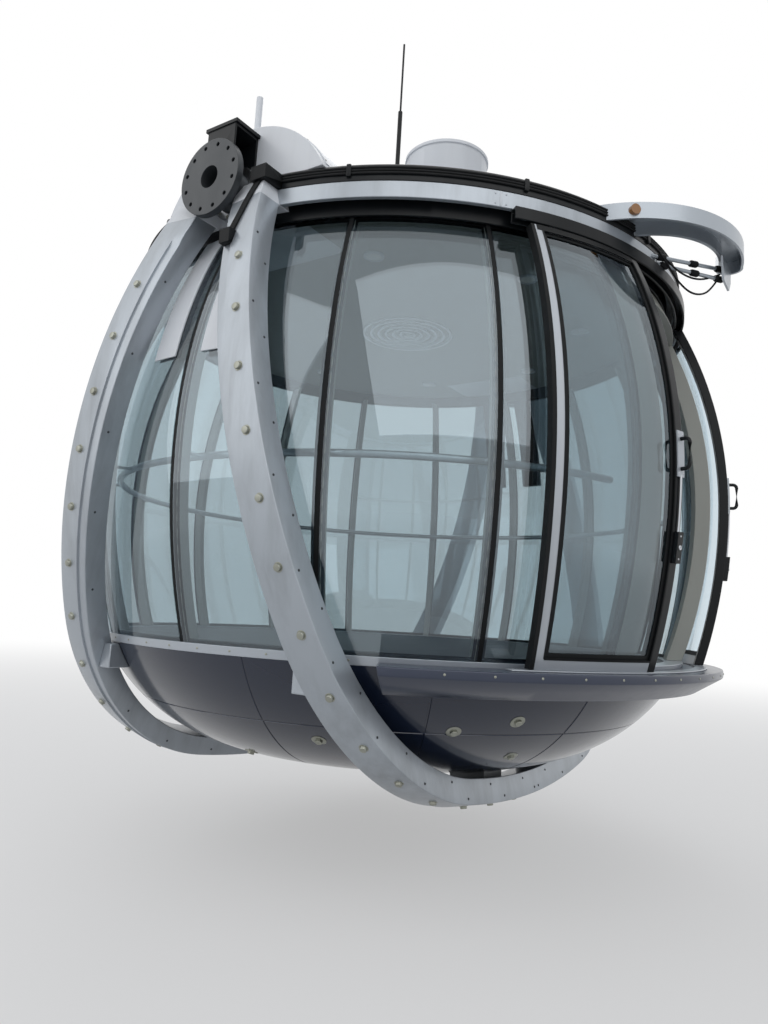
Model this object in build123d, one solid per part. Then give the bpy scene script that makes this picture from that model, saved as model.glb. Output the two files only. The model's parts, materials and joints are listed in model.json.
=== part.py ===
from build123d import *
from math import acos, asin, atan2, cos, degrees, radians, sin, sqrt, tan
import os

os.makedirs("parts", exist_ok=True)

# All lengths in mm and angles in degrees. The origin is the middle of the pivot axis, which runs along X.
# +Z is up and the doorway faces -Y. Heights below are measured from the pivot axis.

# Window barrel: the bulging glass wall of the cabin.
door_direction = 270.0
bay_count = 16
barrel_radius = 2045.0
barrel_middle_z = -1400.0
barrel_upper_arc = 2550.0
barrel_lower_arc = 3000.0
glass_top_z = -215.0
glass_bottom_z = -2375.0
pane_thickness = 24.0
pane_gap = 26.0
post_depth = 70.0
post_width = 46.0
cover_start = 2.6
cover_angle = 4.8
cover_thickness = 9.0
cover_bottom_z = -960.0

# Sill, floor, handrail and belly under the glass.
sill_height = 45.0
sill_depth = 110.0
floor_thickness = 40.0
floor_drop = 3.0
belly_shoulder_setback = 455.0
belly_shoulder_z = -2770.0
belly_bottom_radius = 880.0
belly_bottom_z = -3052.0
belly_wall = 14.0
rail_z = -1450.0
rail_setback = 90.0
rail_tube_radius = 19.0
rail_bracket_radius = 9.0

# Doorway, its ledge and tracks.
doorway_half_angle = 17.3
jamb_depth = 90.0
header_height = 120.0
ledge_half_angle = 60.0
ledge_end_slant = 12.0
ledge_end_trim = 1.5
ledge_reach = 55.0
ledge_top_z = -2400.0
ledge_bottom_z = -2530.0
ledge_foot_setback = 140.0
ledge_foot_width = 118.0
ledge_lip = 40.0
lower_track_width = 70.0
track_half_angle = 42.0
upper_track_bottom_z = -224.0
upper_track_wall = 14.0
upper_slot_half_width = 17.0

# Sliding leaves, outside the barrel and on one common axis with it.
leaf_standoff = 105.0
leaf_upper_arc = 2611.0
leaf_lower_arc = 3472.0
leaf_top_z = -232.0
leaf_bottom_z = -2392.0
leaf_angle = 21.6
leaf_thickness = 50.0
leaf_stile = 46.0
leaf_lead_stile = 64.0
leaf_top_rail = 34.0
leaf_bottom_rail = 52.0
leaf_glass_thickness = 20.0
leaf_seal_width = 26.0
leaf_seal_proud = 6.0
track_clearance = 0.3
carrier_width = 18.0
carrier_height = 42.0
carrier_angle = 2.0
handle_plate_width = 56.0
handle_plate_height = 230.0
handle_plate_thickness = 10.0
handle_bar_radius = 10.0
handle_bar_length = 150.0
handle_bar_offset = 44.0
handle_z = -1330.0
latch_z = -1790.0
latch_width = 44.0
latch_height = 150.0
latch_depth = 26.0

# Hoop beams that carry the cabin from the hubs.
hoop_tilt = 14.0
hoop_apex_z = 790.0
hoop_width = 209.0
hoop_depth = 130.0
hoop_standoff = 117.0
hoop_widest_v = -2094.0
hoop_side_arc = 2870.0
hoop_side_turn = 22.8
hoop_corner_arc = 1420.0
hoop_bottom_arc = 5600.0
hoop_step_width = 62.0
hoop_step_depth = 9.0
hoop_top_z = -160.0
hoop_step_top_z = -300.0

# Hubs, trunnion shafts and their flanges.
hub_face_setback = 295.0
shaft_radius = 107.5
shaft_bore_radius = 60.0
running_clearance = 0.08
shaft_seat_length = 410.0
shaft_end_gap = 10.0
hub_length = 510.0
hub_neck_top_z = 30.0
hub_shoulder = 20.0
hub_shoulder_z = -45.0
hub_cap_half_width = 560.0
hub_cap_top_z = 390.0
hub_cap_length = 450.0
collar_radius = 150.0
collar_length = 48.0
flange_standoff = 190.0
flange_radius = 205.0
flange_thickness = 40.0
flange_bolt_circle = 345.0
flange_bolt_count = 12
flange_bolt_hole_radius = 11.0
drive_box_half_width = 100.0
drive_box_length = 172.0
drive_box_top_z = 308.0
drive_box_wall = 12.0
drive_plate_thickness = 20.0
drive_plate_overhang = 14.0
drive_plate_end_reach = 6.0

# Brackets that tie the hoops to the sill, and saddles under the belly.
bracket_setback = 365.0
bracket_y = 715.0
bracket_drop = 75.0
saddle_reach = 5.0
saddle_standoff = 25.0
saddle_rise = 2.0

# Roof edge.
rim_setback = 205.0
rim_thickness = 28.0
rim_joint_z = -75.0
rim_top_z = 30.0
rim_chamfer = 30.0
band_width = 50.0
soffit_width = 200.0
channel_wall = 14.0
channel_top_z = -120.0
roof_crown_z = 105.0
roof_wall = 14.0
ceiling_thickness = 18.0

# Roof fittings.
upstand_direction = 221.2
upstand_setback = 665.0
upstand_radius = 235.0
upstand_top_z = 450.0
upstand_wall = 12.0
upstand_lip = 8.0
upstand_lip_height = 20.0
upstand_well_depth = 60.0
antenna_bearing = 121.15
antenna_standoff = 46.0
antenna_top_z = 1210.0
antenna_radius = 13.0
antenna_tip_radius = 6.0
antenna_joint_z = 770.0
mast_inset = 330.0
mast_y = 250.0
mast_radius = 20.0
mast_top_z = 885.0
mast_foot_radius = 55.0
mast_foot_top_z = 385.0
mast_foot_height = 110.0
docking_arm_base_z = -60.0
docking_arm_height = 90.0
docking_arm_wall = 14.0
docking_arm_width = 150.0
docking_arm_reach = 375.0
docking_nose_x = 140.0
docking_bend_x = -430.0
docking_root_x = -760.0
docking_root_setback = 300.0
docking_root_width = 250.0
docking_root_step = 60.0
docking_bend_rise = 90.0
docking_inner_shift = 105.0
docking_lamp_radius = 28.0
docking_lamp_height = 16.0
docking_lamp_share = 0.22
docking_lamp_heading = 229.0
docking_gusset_width = 210.0
docking_gusset_height = 130.0
docking_gusset_thickness = 12.0
docking_rod_radius = 11.0
docking_rod_root = 40.0
docking_rods = [
    # direction and height where the rod leaves the roof edge, then x and height of its far end
    (258.0, -100.0, 60.0, -95.0),
    (259.5, -128.0, 40.0, -165.0),
]
lead_count = 3
lead_radius = 7.0
lead_spacing = 14.6
lead_clearance = 1.0
lead_holder_wall = 9.0
lead_holder_length = 60.0
lead_holder_grip = 12.0

# Sizes that follow from the ones above.
hub_face_x = barrel_radius - hub_face_setback
leaf_radius = barrel_radius + leaf_standoff
ledge_radius = barrel_radius + ledge_reach
ledge_foot_radius = ledge_radius - ledge_foot_setback
belly_shoulder_radius = barrel_radius - belly_shoulder_setback
hoop_half_width = barrel_radius + hoop_standoff
rim_radius = barrel_radius - rim_setback
rim_inner_radius = rim_radius - rim_thickness
band_inner_radius = rim_radius - band_width
soffit_inner_radius = rim_radius - soffit_width
hub_inner_x = hub_face_x - hub_length
shaft_inner_x = hub_face_x - shaft_seat_length
hub_cap_inner_x = hub_face_x - hub_cap_length
flange_x = hub_face_x + flange_standoff
floor_top_z = glass_bottom_z - floor_drop
cutter_reach = 1.5 * barrel_radius


def polar(radius, direction, z):
    """Point at a distance and direction from the upright axis."""
    return Vector(radius * cos(radians(direction)), radius * sin(radians(direction)), z)


def bulge_radius(z, middle_radius, upper_arc, lower_arc, inset=0.0):
    """Distance of a bulging wall from the upright axis at height z."""
    arc = upper_arc if z > barrel_middle_z else lower_arc
    return middle_radius - arc + sqrt((arc - inset) ** 2 - (z - barrel_middle_z) ** 2)


def barrel_at(z, inset=0.0):
    return bulge_radius(z, barrel_radius, barrel_upper_arc, barrel_lower_arc, inset)


def leaf_at(z, inset=0.0):
    return bulge_radius(z, leaf_radius, leaf_upper_arc, leaf_lower_arc, inset)


def wall_section(radius_at, outer_inset, inner_inset, bottom_z, top_z):
    """Upright section of a bulging wall between two insets, drawn in the XZ plane."""

    def point(z, inset):
        return Vector(radius_at(z, inset), 0, z)

    def face_line(inset, low, high):
        middle = barrel_middle_z
        if low >= middle or high <= middle:
            return [ThreePointArc(point(low, inset), point((low + high) / 2, inset), point(high, inset))]
        return [
            ThreePointArc(point(low, inset), point((low + middle) / 2, inset), point(middle, inset)),
            ThreePointArc(point(middle, inset), point((middle + high) / 2, inset), point(high, inset)),
        ]

    edges = face_line(outer_inset, bottom_z, top_z)
    edges += face_line(inner_inset, bottom_z, top_z)
    edges.append(Line(point(bottom_z, outer_inset), point(bottom_z, inner_inset)))
    edges.append(Line(point(top_z, outer_inset), point(top_z, inner_inset)))
    return make_face(edges)


def turned(section, start, sweep):
    """Section in the XZ plane turned about the upright axis from one direction through an angle."""
    return revolve(Rot(0, 0, start) * section, Axis.Z, sweep)


def ring_section(inner_radius, outer_radius, bottom_z, top_z):
    corners = [(inner_radius, bottom_z), (outer_radius, bottom_z), (outer_radius, top_z), (inner_radius, top_z)]
    return make_face(Polyline([Vector(r, 0, z) for r, z in corners], close=True))


def angle_of(width, radius):
    """Turn about the upright axis that spans a width at a radius."""
    return degrees(width / radius)


def radial_rod(direction, inner_radius, outer_radius, z, rod_radius):
    """Level round rod that points away from the upright axis."""
    length = outer_radius - inner_radius
    return Rot(0, 0, direction) * Pos(inner_radius + length / 2, 0, z) * Rot(0, 90, 0) * Cylinder(rod_radius, length)


def both_sides(solid):
    """A solid and its mirror image across the plane x = 0."""
    return [solid, mirror(solid, Plane.YZ)]


def box_between(low, high):
    size = [b - a for a, b in zip(low, high)]
    middle = [(a + b) / 2 for a, b in zip(low, high)]
    return Pos(*middle) * Box(*size)


def solids_of(shapes):
    found = []
    for shape in shapes:
        found += list(shape.solids())
    return found


def group(*shapes):
    return Compound(solids_of(shapes))


def fused(*shapes):
    first, *others = solids_of(shapes)
    return group(first.fuse(*others)) if others else group(first)


def cut(shape, *tools):
    """What is left of each solid of a shape outside all tools."""
    tool_solids = solids_of(tools)
    return group(*[solid.cut(*tool_solids) for solid in shape.solids()])


def common(shape, tool):
    """What each solid of a shape shares with a tool."""
    shared = [solid.intersect(tool) for solid in shape.solids()]
    return group(*[piece for piece in shared if piece])


def write(name, *shapes):
    export_step(group(*shapes), f"parts/{name}.step")


# Hoop outline: three tangent arcs a side, in a plane that leans out from the line above the pivot axis.
hoop_side_centre = Vector(hoop_half_width - hoop_side_arc, hoop_widest_v)
hoop_corner_centre = hoop_side_centre + (hoop_side_arc - hoop_corner_arc) * Vector(
    cos(radians(hoop_side_turn)), -sin(radians(hoop_side_turn))
)
hoop_bottom_centre_v = hoop_corner_centre.Y + sqrt(
    (hoop_bottom_arc - hoop_corner_arc) ** 2 - hoop_corner_centre.X ** 2
)
hoop_corner_turn = degrees(atan2(hoop_bottom_centre_v - hoop_corner_centre.Y, hoop_corner_centre.X))


def hoop_outline(inset, top_v):
    """Edges of one hoop face, from the top right round the bottom to the top left."""
    side = hoop_side_arc - inset
    top_turn = degrees(asin((top_v - hoop_widest_v) / side))
    corner = (hoop_corner_centre.X, hoop_corner_centre.Y)
    right = [
        CenterArc((hoop_side_centre.X, hoop_side_centre.Y), side, -hoop_side_turn, hoop_side_turn + top_turn),
        CenterArc(corner, hoop_corner_arc - inset, -hoop_corner_turn, hoop_corner_turn - hoop_side_turn),
    ]
    left = [mirror(edge, Plane.YZ) for edge in right]
    bottom = CenterArc(
        (0, hoop_bottom_centre_v), hoop_bottom_arc - inset, -hoop_corner_turn, 2 * hoop_corner_turn - 180
    )
    top = Vector(hoop_side_centre.X + side * cos(radians(top_turn)), top_v)
    return right + left + [bottom], top


def hoop_plane():
    lean = radians(hoop_tilt)
    return Plane(origin=(0, 0, hoop_apex_z), x_dir=(1, 0, 0), z_dir=(0, -cos(lean), sin(lean)))


def hoop_band(outer_inset, inner_inset, low, high, top_z):
    """Part of the front hoop between two insets and two distances from its middle plane, up to a level top."""
    reach = 200.0
    top_v = (top_z + reach - hoop_apex_z) / cos(radians(hoop_tilt))
    outer, outer_top = hoop_outline(outer_inset, top_v)
    inner, inner_top = hoop_outline(inner_inset, top_v)
    caps = [Line(outer_top, inner_top), Line((-outer_top.X, top_v), (-inner_top.X, top_v))]
    face = make_face(outer + inner + caps)
    band = extrude(hoop_plane().offset(low) * face, high - low)
    above = box_between((-cutter_reach, -cutter_reach, top_z), (cutter_reach, cutter_reach, top_z + 3 * reach))
    return cut(band, above)


def hoop_outer_x(z):
    """Half-width of the hoop's outer face at height z, above the widest point."""
    v = (z - hoop_apex_z) / cos(radians(hoop_tilt))
    return hoop_side_centre.X + sqrt(hoop_side_arc ** 2 - (v - hoop_widest_v) ** 2)


def hoop_face_x(y, z):
    """Half-width of the front hoop's outer face at any point across its width, above the widest point."""
    v = y * sin(radians(hoop_tilt)) + (z - hoop_apex_z) * cos(radians(hoop_tilt))
    return hoop_side_centre.X + sqrt(hoop_side_arc ** 2 - (v - hoop_widest_v) ** 2)


hoop_step = hoop_band(
    -1, hoop_step_depth, -hoop_width / 2 - 1, -hoop_width / 2 + hoop_step_width, hoop_step_top_z
)
hoop_front = cut(hoop_band(0, hoop_depth, -hoop_width / 2, hoop_width / 2, hoop_top_z), hoop_step)
hoop_back = mirror(hoop_front, Plane.XZ)
write("hoop_front", hoop_front)
write("hoop_back", hoop_back)


# Trunnions: hollow shafts that end in a bolted flange.
def trunnion():
    shaft = Pos((shaft_inner_x + flange_x) / 2, 0, 0) * Rot(0, 90, 0) * Cylinder(
        shaft_radius, flange_x - shaft_inner_x
    )
    flange = Pos(flange_x + flange_thickness / 2, 0, 0) * Rot(0, 90, 0) * Cylinder(
        flange_radius, flange_thickness
    )
    reach = flange_x + flange_thickness - shaft_inner_x
    passage = Pos(shaft_inner_x + reach / 2, 0, 0) * Rot(0, 90, 0) * Cylinder(shaft_bore_radius, reach)
    body = cut(fused(shaft, flange), passage)
    for index in range(flange_bolt_count):
        turn = 360.0 / flange_bolt_count * (index + 0.5)
        y = flange_bolt_circle / 2 * cos(radians(turn))
        z = flange_bolt_circle / 2 * sin(radians(turn))
        hole = Pos(flange_x + flange_thickness / 2, y, z) * Rot(0, 90, 0) * Cylinder(
            flange_bolt_hole_radius, 2 * flange_thickness
        )
        body = cut(body, hole)
    return body


trunnion_far = trunnion()
write("trunnion_far", trunnion_far)
write("trunnion_near", mirror(trunnion_far, Plane.YZ))


# Hubs: a neck on the hoop ends, closed by a rounded cap over the roof edge.
def hoop_side_y(z):
    """Distance from the plane y = 0 to the outward side of a hoop at height z."""
    return (hoop_apex_z - z) * tan(radians(hoop_tilt)) + hoop_width / 2 / cos(radians(hoop_tilt))


def neck_block(inner_x, outer_x):
    """Tapered block that runs on from the outward sides of the two hoops."""
    foot = hoop_side_y(hoop_top_z)
    head = hoop_side_y(hub_neck_top_z)
    corners = [(-foot, hoop_top_z), (foot, hoop_top_z), (head, hub_neck_top_z), (-head, hub_neck_top_z)]
    face = make_face(Polyline([Vector(inner_x, y, z) for y, z in corners], close=True))
    return extrude(face, outer_x - inner_x, dir=(1, 0, 0))


def hub_legs():
    """Stumps that continue the two hoops up to the level of the shaft."""
    leg = hoop_band(0, hoop_depth + 60, -hoop_width / 2, hoop_width / 2, hub_neck_top_z)
    leg = common(leg, box_between((hub_face_x, -cutter_reach, hoop_top_z), (cutter_reach, 0, hub_neck_top_z)))
    slope = [
        (hub_face_x, hub_neck_top_z + 1),
        (hub_face_x + hub_shoulder, hub_neck_top_z),
        (hoop_outer_x(hub_shoulder_z), hub_shoulder_z),
        (cutter_reach, hub_shoulder_z),
        (cutter_reach, hub_neck_top_z + 1),
    ]
    wedge = make_face(Polyline([Vector(x, -cutter_reach, z) for x, z in slope], close=True))
    leg = cut(leg, extrude(wedge, 2 * cutter_reach, dir=(0, 1, 0)))
    return group(leg, mirror(leg, Plane.XZ))


def hub_block():
    """Hub before its bore is made."""
    foot = Vector(hub_cap_inner_x, -hub_cap_half_width, hub_neck_top_z)
    crown = Vector(hub_cap_inner_x, 0, hub_cap_top_z)
    far_foot = Vector(hub_cap_inner_x, hub_cap_half_width, hub_neck_top_z)
    arch = make_face([ThreePointArc(foot, crown, far_foot), Line(far_foot, foot)])
    cap = extrude(arch, hub_face_x - hub_cap_inner_x, dir=(1, 0, 0))
    return fused(neck_block(hub_inner_x, hub_face_x), cap, hub_legs())


def hub():
    bore_start = shaft_inner_x - shaft_end_gap
    bore = Pos((bore_start + cutter_reach) / 2, 0, 0) * Rot(0, 90, 0) * Cylinder(
        shaft_radius + running_clearance, cutter_reach - bore_start
    )
    collar_seat = Pos((hub_face_x + cutter_reach) / 2, 0, 0) * Rot(0, 90, 0) * Cylinder(
        collar_radius, cutter_reach - hub_face_x
    )
    return cut(hub_block(), bore, collar_seat)


hub_far = hub()
write("hub_far", hub_far)
write("hub_near", mirror(hub_far, Plane.YZ))

# Collars round the shafts, on the hubs' outer faces.
collar = Pos(hub_face_x + collar_length / 2, 0, 0) * Rot(0, 90, 0) * Cylinder(collar_radius, collar_length)
collar_bore = Pos(hub_face_x + collar_length / 2, 0, 0) * Rot(0, 90, 0) * Cylinder(
    shaft_radius + running_clearance, 2 * collar_length
)
collar = cut(collar, collar_bore)
write("bearing_collars", *both_sides(collar))


# Level drive boxes: open-fronted housings that stand on the collars against the hubs.
def drive_box():
    inner_x = hub_face_x
    outer_x = hub_face_x + drive_box_length
    half = drive_box_half_width
    wall = drive_box_wall
    shell = box_between((inner_x, -half, 0), (outer_x, half, drive_box_top_z))
    inside = box_between((inner_x + wall, -half - 1, 0), (outer_x - wall, half - wall, drive_box_top_z - wall))
    collar_room = Pos(inner_x, 0, 0) * Rot(0, 90, 0) * Cylinder(collar_radius, 2 * collar_length)
    shaft_room = Pos(inner_x, 0, 0) * Rot(0, 90, 0) * Cylinder(shaft_radius + drive_box_wall, 3 * drive_box_length)
    plate_half = half + drive_plate_overhang
    plate_end = outer_x + drive_plate_end_reach
    plate_top_z = drive_box_top_z + drive_plate_thickness
    plate = box_between((inner_x, -plate_half, drive_box_top_z), (plate_end, plate_half, plate_top_z))
    return cut(fused(cut(shell, inside, collar_room, shaft_room), plate), hub_far)


box_far = drive_box()
write("drive_box_far", box_far)
write("drive_box_near", mirror(box_far, Plane.YZ))

# Roof edge: a silver band below, a black cable band above, both broken by the hub necks.
neck_cut = neck_block(hub_inner_x - 1, hoop_half_width)
neck_cuts = group(*both_sides(neck_cut))
hub_blocks = group(*both_sides(hub_block()))
rim_band = turned(ring_section(rim_inner_radius, rim_radius, hoop_top_z, rim_joint_z), 0, 360)
rim_band = cut(rim_band, neck_cuts)
band_face = [(rim_radius, rim_joint_z), (rim_radius - rim_chamfer / 5, rim_top_z - rim_chamfer)]
band_face.append((rim_radius - rim_chamfer, rim_top_z))
cable_outline = [(band_inner_radius, rim_joint_z), *band_face, (band_inner_radius, rim_top_z)]
cable_section = make_face(Polyline([Vector(r, 0, z) for r, z in cable_outline], close=True))
core_outline = [(0, hoop_top_z), (rim_radius, hoop_top_z), *band_face, (0, rim_top_z)]
rim_core = turned(make_face(Polyline([Vector(r, 0, z) for r, z in core_outline], close=True)), 0, 360)
cable_band = cut(turned(cable_section, 0, 360), neck_cuts, hub_blocks)
write("rim_band", rim_band)
write("cable_band", cable_band)

# Soffit: the black recess between the roof edge and the top of the glass, with a channel that holds the glass.
channel_outer = barrel_at(glass_top_z) + channel_wall
channel_inner = barrel_at(glass_top_z, pane_thickness) - channel_wall
soffit_points = [
    (soffit_inner_radius, rim_joint_z),
    (soffit_inner_radius, hoop_top_z),
    (channel_inner, glass_top_z),
    (channel_outer, glass_top_z),
    (channel_outer, channel_top_z),
    (rim_inner_radius, channel_top_z),
    (rim_inner_radius, rim_joint_z),
]
soffit_section = make_face(Polyline([Vector(r, 0, z) for r, z in soffit_points], close=True))
roof_soffit = cut(turned(soffit_section, 0, 360), neck_cuts)
write("roof_soffit", roof_soffit)

# Ceiling panel and roof skin.
ceiling = Pos(0, 0, hoop_top_z + ceiling_thickness / 2) * Cylinder(soffit_inner_radius, ceiling_thickness)
ceiling = cut(ceiling, neck_cuts)
write("ceiling", ceiling)


roof_rise = roof_crown_z - rim_joint_z
roof_sphere = (roof_rise ** 2 + band_inner_radius ** 2) / (2 * roof_rise)
roof_centre_z = roof_crown_z - roof_sphere


def roof_arc(inset):
    """Half outline of the roof dome, from its edge to its crown, drawn in by an inset."""
    radius = roof_sphere - inset
    edge_turn = acos((rim_joint_z - roof_centre_z) / radius)
    edge = Vector(radius * sin(edge_turn), 0, rim_joint_z)
    middle = Vector(radius * sin(edge_turn / 2), 0, roof_centre_z + radius * cos(edge_turn / 2))
    crown = Vector(0, 0, roof_centre_z + radius)
    return ThreePointArc(edge, middle, crown), edge, crown


def dome_face(outer_inset, inner_inset):
    """Half section of the dome between two insets."""
    outer, outer_edge, outer_crown = roof_arc(outer_inset)
    inner, inner_edge, inner_crown = roof_arc(inner_inset)
    return make_face([outer, inner, Line(outer_edge, inner_edge), Line(outer_crown, inner_crown)])


roof_shell = cut(turned(dome_face(0, roof_wall), 0, 360), neck_cuts, hub_blocks)
write("roof_shell", roof_shell)
roof_outline, roof_edge, roof_crown = roof_arc(0)
roof_base = Vector(0, 0, rim_joint_z)
roof_solid = turned(make_face([roof_outline, Line(roof_edge, roof_base), Line(roof_base, roof_crown)]), 0, 360)

# Window panes, the dark joints between them, and the posts behind.
bay_angle = 360.0 / bay_count
gap_angle = angle_of(pane_gap, barrel_radius)
post_angle = angle_of(post_width, barrel_radius)
pane_section = wall_section(barrel_at, 0, pane_thickness, glass_bottom_z, glass_top_z)
post_section = wall_section(barrel_at, pane_thickness, pane_thickness + post_depth, glass_bottom_z, glass_top_z)
panes = []
joints = []
posts = []
for bay in range(1, bay_count):
    start = door_direction + bay * bay_angle
    if bay < bay_count - 1:
        panes.append(turned(pane_section, start + gap_angle / 2, bay_angle - gap_angle))
    joints.append(turned(pane_section, start - gap_angle / 2, gap_angle))
    if 1 < bay < bay_count - 1:
        posts.append(turned(post_section, start - post_angle / 2, post_angle))
write("window_panes", *panes)
write("window_joints", *joints)
write("cabin_posts", *posts)

# Duct covers: plates on the glass that run down from the hubs on both sides of the pivot line.
cover_section = wall_section(barrel_at, -cover_thickness, 0, cover_bottom_z, glass_top_z)
cover_far = turned(cover_section, cover_start, cover_angle)
covers_far = [cover_far, mirror(cover_far, Plane.XZ)]
write("duct_covers", *covers_far, *[mirror(cover, Plane.YZ) for cover in covers_far])

# Door jambs and the header over the doorway.
jamb_section = wall_section(barrel_at, 0, jamb_depth, glass_bottom_z, glass_top_z)
jamb_angle = bay_angle - doorway_half_angle - gap_angle / 2
jamb_near = turned(jamb_section, door_direction - bay_angle + gap_angle / 2, jamb_angle)
jamb_far = mirror(jamb_near, Plane.YZ)
write("door_jambs", jamb_near, jamb_far)
header_section = wall_section(barrel_at, 0, jamb_depth, glass_top_z - header_height, glass_top_z)
door_header = turned(header_section, door_direction - doorway_half_angle, 2 * doorway_half_angle)
write("door_header", door_header)

# Sill ring under the glass, floor deck on its inner step.
sill_outer = barrel_at(glass_bottom_z)
sill_foot = barrel_at(glass_bottom_z - sill_height)
sill_inner = sill_outer - sill_depth
sill_bottom_z = glass_bottom_z - sill_height
sill_points = [
    (sill_inner, glass_bottom_z),
    (sill_outer, glass_bottom_z),
    (sill_foot, sill_bottom_z),
    (sill_inner, sill_bottom_z),
]
sill_section = make_face(Polyline([Vector(r, 0, z) for r, z in sill_points], close=True))
sill_ring = turned(sill_section, 0, 360)
write("sill_ring", sill_ring)
floor_deck = Pos(0, 0, floor_top_z - floor_thickness / 2) * Cylinder(sill_inner, floor_thickness)
write("floor_deck", floor_deck)


# Belly bowl.
def belly_section(inset):
    """Half section of the bowl, drawn in by an inset at its wall and bottom."""
    top = Vector(sill_foot - inset, 0, sill_bottom_z)
    shoulder = Vector(belly_shoulder_radius - inset * 0.8, 0, belly_shoulder_z + inset * 0.6)
    base = Vector(belly_bottom_radius, 0, belly_bottom_z + inset)
    edges = [
        ThreePointArc(top, shoulder, base),
        Line(base, (0, 0, belly_bottom_z + inset)),
        Line((0, 0, belly_bottom_z + inset), (0, 0, sill_bottom_z)),
        Line((0, 0, sill_bottom_z), top),
    ]
    return make_face(edges)


belly_solid = turned(belly_section(0), 0, 360)
belly_bowl = cut(belly_solid, turned(belly_section(belly_wall), 0, 360))
write("belly_bowl", belly_bowl)

# Brackets and saddles, one of each in every quarter.
bracket_middle_x = barrel_radius - bracket_setback
saddle_middle_x = belly_bottom_radius / 2 + saddle_reach
saddle_middle_y = belly_bottom_radius + saddle_standoff
bracket_specs = [
    # name, middle x, middle y, middle z, length along x, along y, along z
    ("sill_bracket", bracket_middle_x, bracket_y, sill_bottom_z - bracket_drop, 240, 150, 130),
    ("belly_saddle", saddle_middle_x, saddle_middle_y, belly_bottom_z + saddle_rise, 230, 210, 140),
]
carriers = {}
for name, x, y, z, length_x, length_y, length_z in bracket_specs:
    block = Pos(x, y, z) * Box(length_x, length_y, length_z)
    block = cut(block, belly_solid, hoop_back)
    pieces = both_sides(block)
    pieces += [mirror(piece, Plane.XZ) for piece in pieces]
    carriers[name] = pieces
write("hoop_brackets", *carriers["sill_bracket"])
write("belly_saddles", *carriers["belly_saddle"])

# Ledge outside the doorway, with the lower track on it.
sill_side = sill_outer + (sill_foot - sill_outer) * (glass_bottom_z - ledge_top_z) / sill_height
ledge_points = [
    (sill_side, ledge_top_z),
    (ledge_radius, ledge_top_z),
    (ledge_radius, ledge_top_z - ledge_lip),
    (ledge_foot_radius, ledge_bottom_z),
    (ledge_foot_radius - ledge_foot_width, ledge_bottom_z),
    (sill_foot, sill_bottom_z),
]
ledge_section = make_face(Polyline([Vector(r, 0, z) for r, z in ledge_points], close=True))
door_ledge = turned(ledge_section, door_direction - ledge_half_angle, 2 * ledge_half_angle)
ledge_end = box_between((0, -cutter_reach / 5, -cutter_reach / 8), (cutter_reach, 0, cutter_reach / 8))
ledge_turn = door_direction - ledge_half_angle + ledge_end_trim
ledge_middle_z = (ledge_top_z + ledge_bottom_z) / 2
ledge_cutter = Rot(0, 0, ledge_turn) * Pos(0, 0, ledge_middle_z) * Rot(ledge_end_slant, 0, 0) * ledge_end
door_ledge = cut(door_ledge, ledge_cutter, mirror(ledge_cutter, Plane.YZ))
write("door_ledge", door_ledge)
track_middle = leaf_at(leaf_bottom_z, leaf_thickness / 2)
track_top_z = leaf_bottom_z - track_clearance
lower_track = turned(
    ring_section(
        track_middle - lower_track_width / 2, track_middle + lower_track_width / 2, ledge_top_z, track_top_z
    ),
    door_direction - track_half_angle,
    2 * track_half_angle,
)
write("lower_track", lower_track)

# Upper track: an inverted channel under the roof edge.
upper_middle = leaf_at(leaf_top_z, leaf_thickness / 2)
slot_half = upper_slot_half_width
channel_half = slot_half + upper_track_wall
upper_section = ring_section(
    upper_middle - channel_half, upper_middle + channel_half, upper_track_bottom_z, hoop_top_z
)
slot_section = ring_section(
    upper_middle - slot_half, upper_middle + slot_half, upper_track_bottom_z - 1, hoop_top_z - upper_track_wall
)
upper_track = turned(upper_section, door_direction - track_half_angle, 2 * track_half_angle)
upper_slot = turned(slot_section, door_direction - track_half_angle - 1, 2 * track_half_angle + 2)
upper_track = cut(upper_track, upper_slot)
write("upper_track", upper_track)


# Sliding leaves at rest, drawn back clear of the doorway.
def leaf_plate(outer_inset, inner_inset, low_z, high_z, low_turn, high_turn):
    """Curved plate of a leaf between two insets, two heights and two turns from the leaf's trailing end."""
    section = wall_section(leaf_at, outer_inset, inner_inset, low_z, high_z)
    return turned(section, leaf_start + low_turn, high_turn - low_turn)


def leaf_handle(turn):
    """Plate with a D-shaped pull, on the outer face of the leading stile."""
    half_plate = angle_of(handle_plate_width / 2, leaf_radius)
    low_z = handle_z - handle_plate_height / 2
    high_z = handle_z + handle_plate_height / 2
    plate = leaf_plate(-handle_plate_thickness, 0, low_z, high_z, turn - half_plate, turn + half_plate)
    grip_radius = leaf_at(handle_z) + handle_plate_thickness + handle_bar_offset
    direction = leaf_start + turn
    ends = [handle_z - handle_bar_length / 2, handle_z + handle_bar_length / 2]
    bar = Pos(*polar(grip_radius, direction, handle_z)) * Cylinder(
        handle_bar_radius, handle_bar_length + 2 * handle_bar_radius
    )
    for z in ends:
        bar = fused(bar, radial_rod(direction, leaf_at(z) + 2, grip_radius, z, handle_bar_radius))
    inner = leaf_plate(-handle_plate_thickness, 60, low_z - 50, high_z + 50, turn - 5, turn + 5)
    return fused(plate, cut(bar, inner))


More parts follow.
